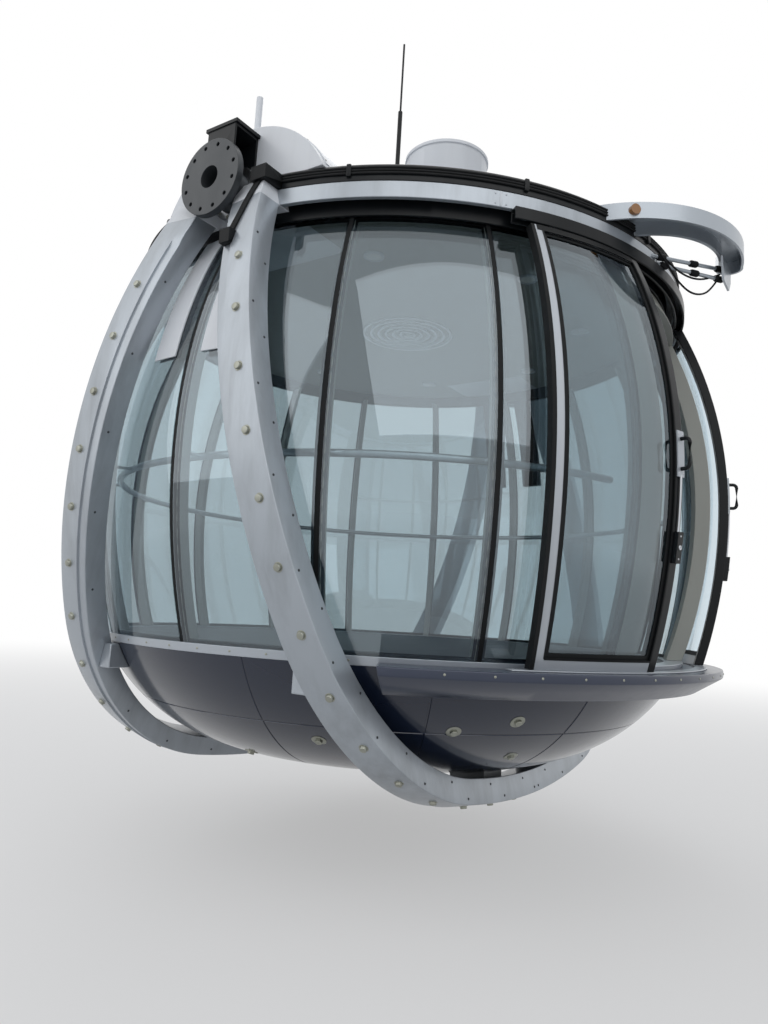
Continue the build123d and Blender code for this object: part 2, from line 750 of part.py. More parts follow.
leaf_start = door_direction - doorway_half_angle - leaf_angle
stile_turn = angle_of(leaf_stile, leaf_radius)
lead_turn = leaf_angle - angle_of(leaf_lead_stile, leaf_radius)
seal_turn = angle_of(leaf_seal_width, leaf_radius)
light_bottom = leaf_bottom_z + leaf_bottom_rail
light_top = leaf_top_z - leaf_top_rail
glass_inset = (leaf_thickness - leaf_glass_thickness) / 2
seal_inset = glass_inset - leaf_seal_proud
frame_full = leaf_plate(0, leaf_thickness, leaf_bottom_z, leaf_top_z, 0, lead_turn)
light = leaf_plate(-5, leaf_thickness + 5, light_bottom, light_top, stile_turn, leaf_angle + 1)
leaf_frame = cut(frame_full, light)
leaf_edge = leaf_plate(0, leaf_thickness, leaf_bottom_z, leaf_top_z, lead_turn, leaf_angle)
for turn in (0.2 * leaf_angle, 0.8 * leaf_angle):
    carrier_section = ring_section(
        upper_middle - carrier_width / 2, upper_middle + carrier_width / 2, leaf_top_z, leaf_top_z + carrier_height
    )
    leaf_frame = fused(leaf_frame, turned(carrier_section, leaf_start + turn - carrier_angle / 2, carrier_angle))
seal_full = leaf_plate(seal_inset, leaf_thickness - seal_inset, light_bottom, light_top, stile_turn, lead_turn)
pane_low = light_bottom + leaf_seal_width
pane_high = light_top - leaf_seal_width
pane_turns = (stile_turn + seal_turn, lead_turn - seal_turn)
leaf_glass = leaf_plate(glass_inset, leaf_thickness - glass_inset, pane_low, pane_high, *pane_turns)
leaf_hole = leaf_plate(-5, leaf_thickness + 5, pane_low, pane_high, *pane_turns)
leaf_seal = cut(seal_full, leaf_hole)
edge_middle = (lead_turn + leaf_angle) / 2
latch_half = angle_of(latch_width / 2, leaf_radius)
latch_low = latch_z - latch_height / 2
latch_high = latch_z + latch_height / 2
latch = leaf_plate(-latch_depth, 0, latch_low, latch_high, edge_middle - latch_half, edge_middle + latch_half)
leaf_pieces = [
    ("frame", leaf_frame),
    ("edge", leaf_edge),
    ("glass", leaf_glass),
    ("seal", leaf_seal),
    ("handle", group(leaf_handle(edge_middle), latch)),
]
for piece_name, solid in leaf_pieces:
    write(f"leaf_near_{piece_name}", solid)
    write(f"leaf_far_{piece_name}", mirror(solid, Plane.YZ))

# Handrail round the inside of the windows, open at the doorway.
post_face = barrel_at(rail_z, pane_thickness + post_depth)
rail_radius = post_face - rail_setback
rail_plane = Plane((rail_radius, 0, rail_z), x_dir=(1, 0, 0), z_dir=(0, -1, 0))
rail = revolve(rail_plane * Circle(rail_tube_radius), Axis.Z, 360 - 2 * bay_angle)
rail = Rot(0, 0, door_direction + bay_angle) * rail
for bay in range(2, bay_count - 1):
    direction = door_direction + bay * bay_angle
    rail = fused(rail, radial_rod(direction, rail_radius, post_face + 9, rail_z, rail_bracket_radius))
rail = cut(rail, *posts)
write("handrail", rail)

# Roof fittings: the ventilator upstand, the mast on the near hub and the whip aerial.
upstand_at = polar(rim_radius - upstand_setback, upstand_direction, 0)
upstand = Pos(upstand_at.X, upstand_at.Y, upstand_top_z / 2) * Cylinder(upstand_radius, upstand_top_z)
lip = Pos(upstand_at.X, upstand_at.Y, upstand_top_z - upstand_lip_height / 2) * Cylinder(
    upstand_radius + upstand_lip, upstand_lip_height
)
well = Pos(upstand_at.X, upstand_at.Y, upstand_top_z) * Cylinder(
    upstand_radius - upstand_wall, 2 * upstand_well_depth
)
upstand = cut(fused(upstand, lip), well, roof_solid)
write("roof_upstand", upstand)

antenna_at = upstand_at + polar(upstand_radius + upstand_lip + antenna_standoff, antenna_bearing, 0)
antenna = Pos(antenna_at.X, antenna_at.Y, antenna_joint_z / 2) * Cylinder(antenna_radius, antenna_joint_z)
antenna_tip = Pos(antenna_at.X, antenna_at.Y, (antenna_joint_z + antenna_top_z) / 2) * Cylinder(
    antenna_tip_radius, antenna_top_z - antenna_joint_z
)
antenna = cut(fused(antenna, antenna_tip), roof_solid)
write("whip_antenna", antenna)

mast_x = mast_inset - hub_face_x
mast_base_z = mast_foot_top_z - mast_foot_height
mast = Pos(mast_x, mast_y, (mast_base_z + mast_top_z) / 2) * Cylinder(mast_radius, mast_top_z - mast_base_z)
mast_foot = Pos(mast_x, mast_y, mast_foot_top_z - mast_foot_height / 2) * Cylinder(
    mast_foot_radius, mast_foot_height
)
mast = cut(fused(mast, mast_foot), hub_blocks)
write("mast", mast)


# Docking arm: a hooked channel, open below, on the side of the roof edge beside the doorway.
docking_tip_y = -rim_radius - docking_arm_reach
docking_root_y = docking_root_setback - rim_radius


def docking_outer(inset):
    """Outer edge of the arm seen from above, from its root to its nose, drawn in by an inset."""
    root = Vector(docking_root_x + inset, docking_root_y)
    bend = Vector(docking_bend_x, docking_tip_y + docking_bend_rise + inset)
    nose = Vector(docking_nose_x, docking_tip_y + inset)
    return ThreePointArc(root, bend, nose)


def docking_face(inset):
    """Outline of the arm seen from above, drawn in by an inset."""
    half = docking_arm_width / 2
    shift = docking_inner_shift - inset
    outer = docking_outer(inset)
    nose_tip = Vector(docking_nose_x + half - inset, docking_tip_y + half)
    nose_end = Vector(docking_nose_x, docking_tip_y + docking_arm_width - inset)
    bend = Vector(docking_bend_x + shift, docking_tip_y + docking_bend_rise + shift)
    root = Vector(docking_root_x + docking_root_width - inset, docking_root_y - docking_root_step)
    nose = ThreePointArc(outer @ 1, nose_tip, nose_end)
    inner = ThreePointArc(nose_end, bend, root)
    return make_face([outer, nose, inner, Line(root, outer @ 0)])


arm_plane = Pos(0, 0, docking_arm_base_z)
arm = extrude(arm_plane * docking_face(0), docking_arm_height)
arm_room = extrude(arm_plane * docking_face(docking_arm_wall), docking_arm_height - docking_arm_wall)
arm = cut(arm, arm_room, rim_core)
gusset_y = docking_tip_y + docking_arm_width / 2
gusset_low_z = docking_arm_base_z - docking_gusset_height
gusset_corners = [
    (docking_nose_x + docking_arm_width / 3, docking_arm_base_z),
    (docking_nose_x - docking_gusset_width, docking_arm_base_z),
    (docking_nose_x - docking_gusset_width * 0.8, gusset_low_z),
    (docking_nose_x, gusset_low_z),
    (docking_nose_x + docking_arm_width / 3, docking_arm_base_z - docking_gusset_height / 2),
]
gusset_face = make_face(Polyline([Vector(x, gusset_y, z) for x, z in gusset_corners], close=True))
gusset = extrude(gusset_face, docking_gusset_thickness, dir=(0, 1, 0))
rods = []
for root_direction, root_z, end_x, end_z in docking_rods:
    rod_end = Vector(end_x, gusset_y + docking_gusset_thickness, end_z)
    rod_start = polar(rim_radius - docking_rod_root, root_direction, root_z)
    length = (rod_end - rod_start).length
    rod = Pos(0, 0, length / 2) * Cylinder(docking_rod_radius, length)
    rod = Plane(origin=rod_start, z_dir=rod_end - rod_start) * rod
    rods.append(cut(rod, rim_core, gusset))
write("docking_arm", arm, gusset, *rods)
lamp_at = docking_outer(0) @ docking_lamp_share + Vector(0, 0, docking_arm_base_z + docking_arm_height / 2)
lamp = Pos(*lamp_at) * Rot(0, 0, docking_lamp_heading) * Rot(0, 90, 0) * Cylinder(
    docking_lamp_radius, 2 * docking_lamp_height
)
lamp = cut(lamp, extrude(arm_plane * docking_face(0), 2 * docking_arm_height))
write("docking_lamp", lamp)


# Cable lead: three cables held against the near hub's leg and the roof edge, from a gland to a clip.
def cable_path(points):
    """Straight runs joined by tangent arcs as large as the runs allow."""
    radii = []
    for before, corner, after in zip(points, points[1:], points[2:]):
        run_in = corner - before
        run_out = after - corner
        turn = radians(run_in.get_angle(run_out))
        radii.append(0.45 * min(run_in.length, run_out.length) / tan(turn / 2))
    print("lead radii:", [round(radius) for radius in radii])
    return FilletPolyline(*points, radius=radii)


lead_route = [
    # height, distance from the plane y = 0
    (-392, 238),
    (-330, 249),
    (-262, 259),
    (-190, 266),
    (-118, 276),
    (-60, 288),
]
leads = []
for index in range(lead_count):
    shift = (index - (lead_count - 1) / 2) * lead_spacing
    points = [
        Vector(-hoop_face_x(shift - y, z) - lead_radius - lead_clearance, shift - y, z) for z, y in lead_route
    ]
    path = cable_path(points)
    start = Plane(origin=points[0], z_dir=points[1] - points[0])
    leads.append(sweep(start * Circle(lead_radius), path))


def lead_holder(low_z, high_z, low_y, high_y):
    """Moulded block on the outer face of the near hub's leg, with pockets for the cables."""
    outer_x = -hoop_face_x(-high_y, low_z) - 2 * lead_radius - lead_holder_wall
    inner_x = hoop_depth / 2 - hoop_outer_x(high_z)
    block = box_between((outer_x, -high_y, low_z), (inner_x, -low_y, high_z))
    return cut(block, hoop_front, hub_blocks, rim_core, *leads)


lead_half_width = lead_spacing * lead_count / 2
gland_z, gland_y = lead_route[0]
clip_z, clip_y = lead_route[-1]
gland = lead_holder(
    gland_z - lead_holder_length,
    gland_z + lead_holder_grip,
    gland_y - lead_half_width - lead_radius,
    gland_y + lead_half_width + 2 * lead_radius,
)
clip = lead_holder(
    clip_z - lead_holder_grip,
    clip_z + lead_holder_length,
    clip_y - lead_half_width - 2 * lead_radius,
    clip_y + lead_half_width + 6 * lead_radius,
)
write("cable_lead", *leads, gland, clip)
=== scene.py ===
import bpy, bmesh, json, math
import numpy as np
from mathutils import Matrix, Vector


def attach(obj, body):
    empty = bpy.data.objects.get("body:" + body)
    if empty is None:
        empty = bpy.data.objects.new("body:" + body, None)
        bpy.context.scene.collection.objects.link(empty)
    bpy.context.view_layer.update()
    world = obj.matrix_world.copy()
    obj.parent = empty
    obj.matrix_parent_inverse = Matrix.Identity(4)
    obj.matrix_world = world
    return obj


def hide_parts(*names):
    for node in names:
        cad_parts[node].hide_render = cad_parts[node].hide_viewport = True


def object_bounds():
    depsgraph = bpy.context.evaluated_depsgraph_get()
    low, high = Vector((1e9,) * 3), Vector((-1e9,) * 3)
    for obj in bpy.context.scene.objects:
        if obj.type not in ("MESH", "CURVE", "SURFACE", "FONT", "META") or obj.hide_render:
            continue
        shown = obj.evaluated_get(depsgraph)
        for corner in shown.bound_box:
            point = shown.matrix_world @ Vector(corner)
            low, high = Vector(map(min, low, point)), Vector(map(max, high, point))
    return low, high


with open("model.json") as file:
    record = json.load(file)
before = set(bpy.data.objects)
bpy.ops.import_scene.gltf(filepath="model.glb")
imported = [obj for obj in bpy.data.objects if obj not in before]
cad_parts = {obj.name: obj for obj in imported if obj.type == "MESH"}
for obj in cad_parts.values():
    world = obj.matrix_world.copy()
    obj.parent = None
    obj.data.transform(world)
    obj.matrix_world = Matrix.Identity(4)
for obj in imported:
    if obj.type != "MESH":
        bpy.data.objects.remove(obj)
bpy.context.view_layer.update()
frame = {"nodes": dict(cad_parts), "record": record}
nodes = frame["nodes"]
print("frame loaded:", len(nodes), "nodes")


def newObject(name, data):
    thing = bpy.data.objects.new(name, data)
    bpy.context.scene.collection.objects.link(thing)
    return thing


# camera, stood where the photograph was taken

view = dict(
    direction=212.64, distance=5.325, height=-2.170,  # from the upright axis and the pivot axis
    pitch=7.40, yaw=1.04, roll=3.27, focalPixels=760.0, frameHeight=1024, sensorWidth=36.0, clipEnd=200.0,
)


def makeCamera():
    # right and up axes of a level camera, turned about the line of sight by the roll
    turn = math.radians(view["direction"])
    place = Vector((view["distance"] * math.cos(turn), view["distance"] * math.sin(turn), view["height"]))
    heading = turn + math.pi + math.radians(view["yaw"])
    pitch, roll = math.radians(view["pitch"]), math.radians(view["roll"])
    forward = Vector((math.cos(heading) * math.cos(pitch), math.sin(heading) * math.cos(pitch), math.sin(pitch)))
    level = forward.cross(Vector((0, 0, 1))).normalized()
    upright = level.cross(forward)
    right = level * math.cos(roll) + upright * math.sin(roll)
    up = upright * math.cos(roll) - level * math.sin(roll)
    data = bpy.data.cameras.new("camera")
    data.sensor_width = view["sensorWidth"]
    data.lens = view["focalPixels"] / view["frameHeight"] * data.sensor_width
    data.clip_end = view["clipEnd"]
    camera = newObject("camera", data)
    camera.matrix_world = Matrix.Translation(place) @ Matrix((right, up, -forward)).transposed().to_4x4()
    bpy.context.scene.camera = camera


makeCamera()
print("camera placed")


# colours and finishes of the whole cabin

finishes = {  # colour, roughness, shine, the grime's share and colour, and what differs from plain paint
    "silverPaint": ((0.385, 0.422, 0.462), 0.33, 0.45, 0.45, (0.150, 0.160, 0.170),
                    dict(metallic=0.48, coat=0.20, fleck=0.030)),
    "shadeSilver": ((0.440, 0.472, 0.510), 0.36, 0.45, 0.35, (0.270, 0.285, 0.300),
                    dict(metallic=0.30, coat=0.15, fleck=0.025)),
    "sillSilver": ((0.475, 0.515, 0.560), 0.30, 0.50, 0.30, (0.300, 0.320, 0.340),
                   dict(metallic=0.25, coat=0.25, fleck=0.015)),
    "whitePaint": ((0.650, 0.675, 0.710), 0.38, 0.45, 0.26, (0.400, 0.410, 0.420), dict(coat=0.15)),
    # the belly's very dark navy is partly its own paint and partly a painted reflection of a dark deck below it
    "bellyPaintAndDeckReflection": ((0.0110, 0.0180, 0.0400), 0.19, 0.32, 0.12, (0.040, 0.050, 0.068),
                   dict(metallic=0.10, coat=0.55, relief=0.010)),
    "ledgePaint": ((0.034, 0.044, 0.075), 0.30, 0.40, 0.12, (0.070, 0.080, 0.100),
                   dict(metallic=0.10, coat=0.25, relief=0.008)),
    "darkPaint": ((0.036, 0.041, 0.046), 0.40, 0.35, 0.35, (0.100, 0.105, 0.108), dict(metallic=0.20, coat=0.10)),
    "blackPaint": ((0.006, 0.0075, 0.009), 0.30, 0.20, 0.22, (0.032, 0.034, 0.036), {}),
    "brightMetal": ((0.50, 0.52, 0.55), 0.30, 0.50, 0.35, (0.22, 0.225, 0.23), dict(metallic=1.0)),
    "boltMetal": ((0.335, 0.345, 0.300), 0.36, 0.50, 0.50, (0.170, 0.165, 0.130), dict(metallic=0.80)),
    "beigeLining": ((0.360, 0.365, 0.335), 0.50, 0.35, 0.25, (0.25, 0.25, 0.225), {}),
    "paleLining": ((0.305, 0.312, 0.285), 0.55, 0.30, 0.18, (0.20, 0.205, 0.20), {}),
    "blackRubber": ((0.007, 0.008, 0.009), 0.55, 0.16, 0.22, (0.030, 0.030, 0.030), {}),
    "lampWhite": ((0.80, 0.80, 0.76), 0.30, 0.50, 0.10, (0.60, 0.60, 0.55), {}),
    "amberLens": ((0.27, 0.115, 0.026), 0.20, 0.50, 0.20, (0.16, 0.08, 0.03), dict(coat=0.40)),
}
paint = dict(stretch=(3.4, 3.4, 0.55), streakScale=2.4, blotchScale=1.1, dirtFrom=0.22, dirtTo=0.44,
             fleckScale=900.0, fleckFrom=0.35, fleckTo=0.75, fineScale=15.0, smoother=0.05, rougher=0.08,
             bumpHeight=0.002, coatRoughness=0.08)
glassLook = dict(tint=(0.725, 0.775, 0.790), shineColor=(0.84, 0.93, 1.0), plainShine=0.115, roughness=0.006)
floorLook = dict(color=(0.060, 0.066, 0.076), studColor=(0.105, 0.112, 0.124), pitch=0.028, studEdge=(0.36, 0.28),
                 roughness=(0.42, 0.72), wearScale=6.0, bump=0.4, bumpHeight=0.002)


def newMaterial(name):
    material = bpy.data.materials.new(name)
    material.use_nodes = True
    tree = material.node_tree
    return material, tree, tree.nodes["Principled BSDF"]


def setValues(node, **values):
    # a value is the node's own setting where it has one of that name, otherwise the input of that name
    for key, value in values.items():
        if hasattr(node, key):
            setattr(node, key, value)
        else:
            node.inputs[key.replace("_", " ")].default_value = value
    return node


def addNode(tree, kind, **values):
    return setValues(tree.nodes.new(kind), **values)


def addMix(tree, first, second, blend="MIX"):
    # mix of two colours: input 0 is the share, 6 and 7 are the colours, output 2 is the result
    mix = addNode(tree, "ShaderNodeMix", data_type="RGBA", blend_type=blend)
    mix.inputs[6].default_value = (*first, 1)
    mix.inputs[7].default_value = (*second, 1)
    return mix


def connect(tree, *runs):
    # each run goes from a node's output to a node's input
    for source, output, target, entry in runs:
        tree.links.new(source.outputs[output], target.inputs[entry])


def paintedMaterial(name, color, roughness, shine, grime, grimeColor, metallic=0.0, coat=0.0, fleck=0.0,
                    relief=0.035):
    # paint mixed with grime where a noise stretched down the walls passes a threshold, with fine flecks of lighter
    # paint; roughness and bump follow a finer noise
    material, tree, shader = newMaterial(name)
    place = addNode(tree, "ShaderNodeTexCoord")
    stretch = addNode(tree, "ShaderNodeMapping", Scale=paint["stretch"])
    streaks = addNode(tree, "ShaderNodeTexNoise", Scale=paint["streakScale"], Detail=7.0, Roughness=0.64)
    blotches = addNode(tree, "ShaderNodeTexNoise", Scale=paint["blotchScale"], Detail=3.0, Roughness=0.5)
    both = addNode(tree, "ShaderNodeMath", operation="MULTIPLY")
    ramp = addNode(tree, "ShaderNodeMapRange", From_Min=paint["dirtFrom"], From_Max=paint["dirtTo"], To_Max=grime)
    dirty = addMix(tree, color, grimeColor)
    flecks = addNode(tree, "ShaderNodeTexNoise", Scale=paint["fleckScale"], Detail=1.0)
    fleckRamp = addNode(tree, "ShaderNodeMapRange", From_Min=paint["fleckFrom"], From_Max=paint["fleckTo"],
                        To_Max=fleck)
    bright = addMix(tree, color, (1.0, 1.0, 1.0), "ADD")
    fine = addNode(tree, "ShaderNodeTexNoise", Scale=paint["fineScale"], Detail=5.0, Roughness=0.58)
    rough = addNode(tree, "ShaderNodeMapRange", To_Min=roughness - paint["smoother"],
                    To_Max=roughness + paint["rougher"])
    bump = addNode(tree, "ShaderNodeBump", Strength=relief, Distance=paint["bumpHeight"])
    setValues(shader, Metallic=metallic, Specular_IOR_Level=shine, Coat_Weight=coat,
              Coat_Roughness=paint["coatRoughness"])
    connect(
        tree, (place, "Object", stretch, "Vector"), (stretch, "Vector", streaks, "Vector"),
        (place, "Object", blotches, "Vector"), (streaks, "Fac", both, 0), (blotches, "Fac", both, 1),
        (both, 0, ramp, "Value"), (ramp, "Result", dirty, 0), (place, "Object", flecks, "Vector"),
        (flecks, "Fac", fleckRamp, "Value"), (fleckRamp, "Result", bright, 0), (dirty, 2, bright, 6),
        (bright, 2, shader, "Base Color"), (place, "Object", fine, "Vector"), (fine, "Fac", rough, "Value"),
        (rough, "Result", shader, "Roughness"), (fine, "Fac", bump, "Height"), (bump, "Normal", shader, "Normal"),
    )
    return material


def glassMaterial():
    # see-through light mixed with a sharp mirror; the mirror's share is plainShine head on and rises with the fifth
    # power of one minus the cosine of the angle, the same from both sides of the pane
    material, tree, shader = newMaterial("windowGlass")
    tree.nodes.remove(shader)
    clear = addNode(tree, "ShaderNodeBsdfTransparent", Color=(*glassLook["tint"], 1))
    gloss = addNode(tree, "ShaderNodeBsdfGlossy", Color=(*glassLook["shineColor"], 1),
                    Roughness=glassLook["roughness"])
    side = addNode(tree, "ShaderNodeLayerWeight", Blend=0.5)
    power = addNode(tree, "ShaderNodeMath", operation="POWER")
    power.inputs[1].default_value = 5.0
    share = addNode(tree, "ShaderNodeMapRange", To_Min=glassLook["plainShine"])
    mix = addNode(tree, "ShaderNodeMixShader")
    connect(
        tree, (side, "Facing", power, 0), (power, 0, share, "Value"), (share, "Result", mix, 0), (clear, 0, mix, 1),
        (gloss, 0, mix, 2), (mix, 0, tree.nodes["Material Output"], "Surface"),
    )
    return material


def floorCoveringMaterial():
    # rubber flooring with round studs: a stud where the distance to the nearest point of a square grid is short
    material, tree, shader = newMaterial("floorCovering")
    place = addNode(tree, "ShaderNodeTexCoord")
    cells = addNode(tree, "ShaderNodeTexVoronoi", voronoi_dimensions="2D", Scale=1.0 / floorLook["pitch"],
                    Randomness=0.0)
    edge, rough = floorLook["studEdge"], floorLook["roughness"]
    stud = addNode(tree, "ShaderNodeMapRange", interpolation_type="SMOOTHSTEP", From_Min=edge[0], From_Max=edge[1])
    mix = addMix(tree, floorLook["color"], floorLook["studColor"])
    wear = addNode(tree, "ShaderNodeTexNoise", Scale=floorLook["wearScale"], Detail=4.0)
    worn = addNode(tree, "ShaderNodeMapRange", To_Min=rough[0], To_Max=rough[1])
    bump = addNode(tree, "ShaderNodeBump", Strength=floorLook["bump"], Distance=floorLook["bumpHeight"])
    connect(
        tree, (place, "Object", cells, "Vector"), (cells, "Distance", stud, "Value"), (stud, "Result", mix, 0),
        (mix, 2, shader, "Base Color"), (place, "Object", wear, "Vector"), (wear, "Fac", worn, "Value"),
        (worn, "Result", shader, "Roughness"), (stud, "Result", bump, "Height"), (bump, "Normal", shader, "Normal"),
    )
    return material


finish = {name: paintedMaterial(name, *plain, **more) for name, (*plain, more) in finishes.items()}
finish["windowGlass"] = glassMaterial()
finish["floorCovering"] = floorCoveringMaterial()

slotFinish = {
    "steel_paint": "darkPaint", "white_paint": "whitePaint", "silver_paint": "silverPaint",
    "black_paint": "blackPaint", "navy_paint": "bellyPaintAndDeckReflection", "bright_metal": "brightMetal",
    "window_glass": "windowGlass", "black_rubber": "blackRubber", "beige_trim": "beigeLining",
    "floor_covering": "floorCovering", "ceiling_panel": "paleLining", "amber_lens": "amberLens",
}
ownFinish = {
    "door_ledge": "ledgePaint", "leaf_near_frame": "shadeSilver", "leaf_far_frame": "shadeSilver",
    "duct_covers": "whitePaint", "sill_ring": "sillSilver", "lower_track": "shadeSilver",
}
nodeFinish, nodeSlot = {}, {}
for row in frame["record"]["subparts"]:
    key = ownFinish.get(row["node"], slotFinish[row["material_slot"]])
    nodeFinish[row["node"]] = finish[key]
    nodeSlot[row["node"]] = row["material_slot"]
    mesh = nodes[row["node"]].data
    mesh.materials.clear()
    mesh.materials.append(finish[key])
print("finishes assigned:", len(finish))


# making a piece from a mesh, or from shells: pairs of points and faces

bodyOf = {name: body for body, names in frame["record"]["behaviour"]["bodies"].items() for name in names}
upAxis = np.array([0.0, 0.0, 1.0])
joining = dict(doubles=1e-6, corners=1e-5, flatTurn=0.05, edgeSegments=2)  # metres, and a turn in degrees


def newPiece(name, mesh, node, look=None, slotNode=None, smoothAngle=40.0, replaced=None):
    # a visible piece on the node's body, with the node's finish unless a finish is named; the shading is smooth across
    # edges that turn less than the angle. The slotNode argument is not used.
    mesh.materials.clear()
    mesh.materials.append(finish[look] if look else nodeFinish[node])
    mesh.validate()
    piece = newObject(name, mesh)
    mesh.shade_smooth()
    mesh.set_sharp_from_angle(angle=math.radians(smoothAngle))
    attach(piece, bodyOf[node])
    if replaced:
        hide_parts(replaced)
    return piece


def tidyShells(mesh):
    # doubles merged and faces turned outwards
    work = bmesh.new()
    work.from_mesh(mesh)
    bmesh.ops.remove_doubles(work, verts=work.verts, dist=joining["doubles"])
    bmesh.ops.recalc_face_normals(work, faces=work.faces)
    work.to_mesh(mesh)
    work.free()
    return mesh


def shellPiece(name, shells, node, *how, **more):
    # several (points, faces) pairs become one piece; faces are one array of rows or a tuple of such arrays
    mesh = bpy.data.meshes.new(name)
    points, faces, start = [], [], 0
    for shellPoints, shellFaces in shells:
        points.append(np.asarray(shellPoints, dtype=float).reshape(-1, 3))
        for block in shellFaces if isinstance(shellFaces, tuple) else (shellFaces,):
            faces += (block + start).tolist()
        start += len(points[-1])
    mesh.from_pydata(np.concatenate(points).tolist(), [], faces)
    return newPiece(name, tidyShells(mesh), node, *how, **more)


def gridFaces(rows, columns, closeRows=False, closeColumns=False):
    # quads between neighbours of a grid of rows times columns points
    i = np.arange(rows if closeRows else rows - 1)
    j = np.arange(columns if closeColumns else columns - 1)
    a, b = np.meshgrid(i, j, indexing="ij")
    a, b = a.ravel(), b.ravel()
    nextA, nextB = (a + 1) % rows * columns, (b + 1) % columns
    return np.stack([a * columns + b, nextA + b, nextA + nextB, a * columns + nextB], axis=1)


def outwardAt(turn):
    return np.array([math.cos(turn), math.sin(turn), 0.0])


def alongAt(turn):
    return np.array([-math.sin(turn), math.cos(turn), 0.0])


def evenTurns(count, first=0.0):
    # so many equal steps round the circle, from the first in degrees
    return np.radians(first + np.arange(count) * 360.0 / count)


def turnedShell(profile, turns, closed=False):
    # a closed profile of (radius, height) points carried round the upright axis to each turn, in degrees
    angle = np.radians(np.asarray(turns, dtype=float))[:, None]
    radius, height = np.asarray(profile, dtype=float).T
    points = np.stack([np.cos(angle) * radius, np.sin(angle) * radius, height + 0 * angle], axis=2)
    return points, gridFaces(*points.shape[:2], closeRows=closed, closeColumns=True)


def capped(points, faces):
    # end caps of an open shell, as fans about each end's middle point
    rows, columns = points.shape[:2]
    flat = points.reshape(-1, 3)
    ends = [flat[:columns].mean(axis=0), flat[-columns:].mean(axis=0)]
    j = np.arange(columns)
    last = (rows - 1) * columns
    fans = np.concatenate([
        np.stack([np.full(columns, rows * columns), (j + 1) % columns, j], axis=1),
        np.stack([np.full(columns, rows * columns + 1), last + j, last + (j + 1) % columns], axis=1),
    ])
    return np.concatenate([flat, ends]), (faces, fans)


def crossHelper(axis):
    # an axis of the frame that is well off this direction
    return upAxis if abs(axis[2]) < 0.9 else np.array([1.0, 0.0, 0.0])


def rodShell(path, radius, sides=12):
    # a circle carried along a path, square to the mean of the runs on both sides of each point, with closed ends
    path = np.asarray(path, dtype=float)
    ahead = np.gradient(path, axis=0)
    ahead /= np.linalg.norm(ahead, axis=1)[:, None]
    side = np.cross(ahead, crossHelper(ahead[0]))
    side /= np.linalg.norm(side, axis=1)[:, None]
    other = np.cross(side, ahead)
    turn = np.linspace(0, 2 * np.pi, sides, endpoint=False)[:, None]
    points = path[:, None] + radius * (np.cos(turn) * other[:, None] + np.sin(turn) * side[:, None])
    return capped(points, gridFaces(len(path), sides, closeColumns=True))


def lathed(profile, place, axis, sides=20):
    # a profile of (radius, height) points turned about an axis through a place, its first and last points on it
    axis = np.asarray(axis, dtype=float) / np.linalg.norm(axis)
    first = np.cross(crossHelper(axis), axis)
    first /= np.linalg.norm(first)
    second = np.cross(axis, first)
    turn = np.linspace(0, 2 * np.pi, sides, endpoint=False)
    radius, height = np.asarray(profile, dtype=float).T
    ring = np.cos(turn)[:, None] * first + np.sin(turn)[:, None] * second
    points = np.asarray(place) + radius[:, None, None] * ring[None] + height[:, None, None] * axis
    return points, gridFaces(len(profile), sides, closeColumns=True)


def refinedCopy(node, bevel, angle=35.0):
    # the node's own mesh with its corners joined and flat faces made whole, then rounded edges and smooth shading
    name = node + "Refined"
    mesh = bpy.data.meshes.new(name)
    work = bmesh.new()
    work.from_mesh(nodes[node].data)
    bmesh.ops.remove_doubles(work, verts=work.verts, dist=joining["corners"])
    bmesh.ops.dissolve_limit(work, angle_limit=math.radians(joining["flatTurn"]), use_dissolve_boundaries=False,
                             verts=work.verts, edges=work.edges)
    work.to_mesh(mesh)
    work.free()
    piece = newPiece(name, mesh, node, smoothAngle=angle)
    if bevel:
        edges = piece.modifiers.new("rounding", "BEVEL")
        edges.width = bevel
        edges.segments = joining["edgeSegments"]
        edges.limit_method = "ANGLE"
        edges.angle_limit = math.radians(angle)
        edges.use_clamp_overlap = True
    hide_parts(node)


# the bulging walls: panes and leaf glass

barrel = dict(middle=2.045, middleZ=-1.400, upperArc=2.550, lowerArc=3.000, top=-0.215, bottom=-2.375)
sliding = dict(middle=2.150, middleZ=-1.400, upperArc=2.611, lowerArc=3.472, top=-0.232, bottom=-2.392)


def wallRadius(wall, z, inset=0.0):
    # distance from the upright axis: one arc above the widest height and a larger one below it
    arc = np.where(np.asarray(z) > wall["middleZ"], wall["upperArc"], wall["lowerArc"])
    return wall["middle"] - arc + np.sqrt((arc - inset) ** 2 - (np.asarray(z) - wall["middleZ"]) ** 2)


def wallShell(wall, outer, inner, low, high, start, sweep, rows=28, columns=10):
    # the section between two insets goes up the outer face and down the inner one, is turned through the sweep, and
    # its two ends are closed by quads between the faces
    z = np.linspace(low, high, rows)
    section = np.concatenate([
        np.stack([wallRadius(wall, z, outer), z], axis=1),
        np.stack([wallRadius(wall, z, inner), z], axis=1)[::-1],
    ])
    points, faces = turnedShell(section, np.linspace(start, start + sweep, columns))
    count = len(section)
    i = np.arange(rows - 1)
    end = np.stack([i, i + 1, count - 2 - i, count - 1 - i], axis=1)
    last = (columns - 1) * count
    return points, np.concatenate([faces, end[:, ::-1], end + last])


windows = dict(
    firstBay=1, lastBay=14, turn=22.5, door=270.0, gap=0.026, thickness=0.024, sealOuter=0.004, sealInner=0.022,
    fritWidth=0.020, fritOuter=0.0244, fritInner=0.0254, covers=(5.0, 175.0, 185.0, 355.0), coverTurn=5.0,
    coverBottom=-0.960,
)


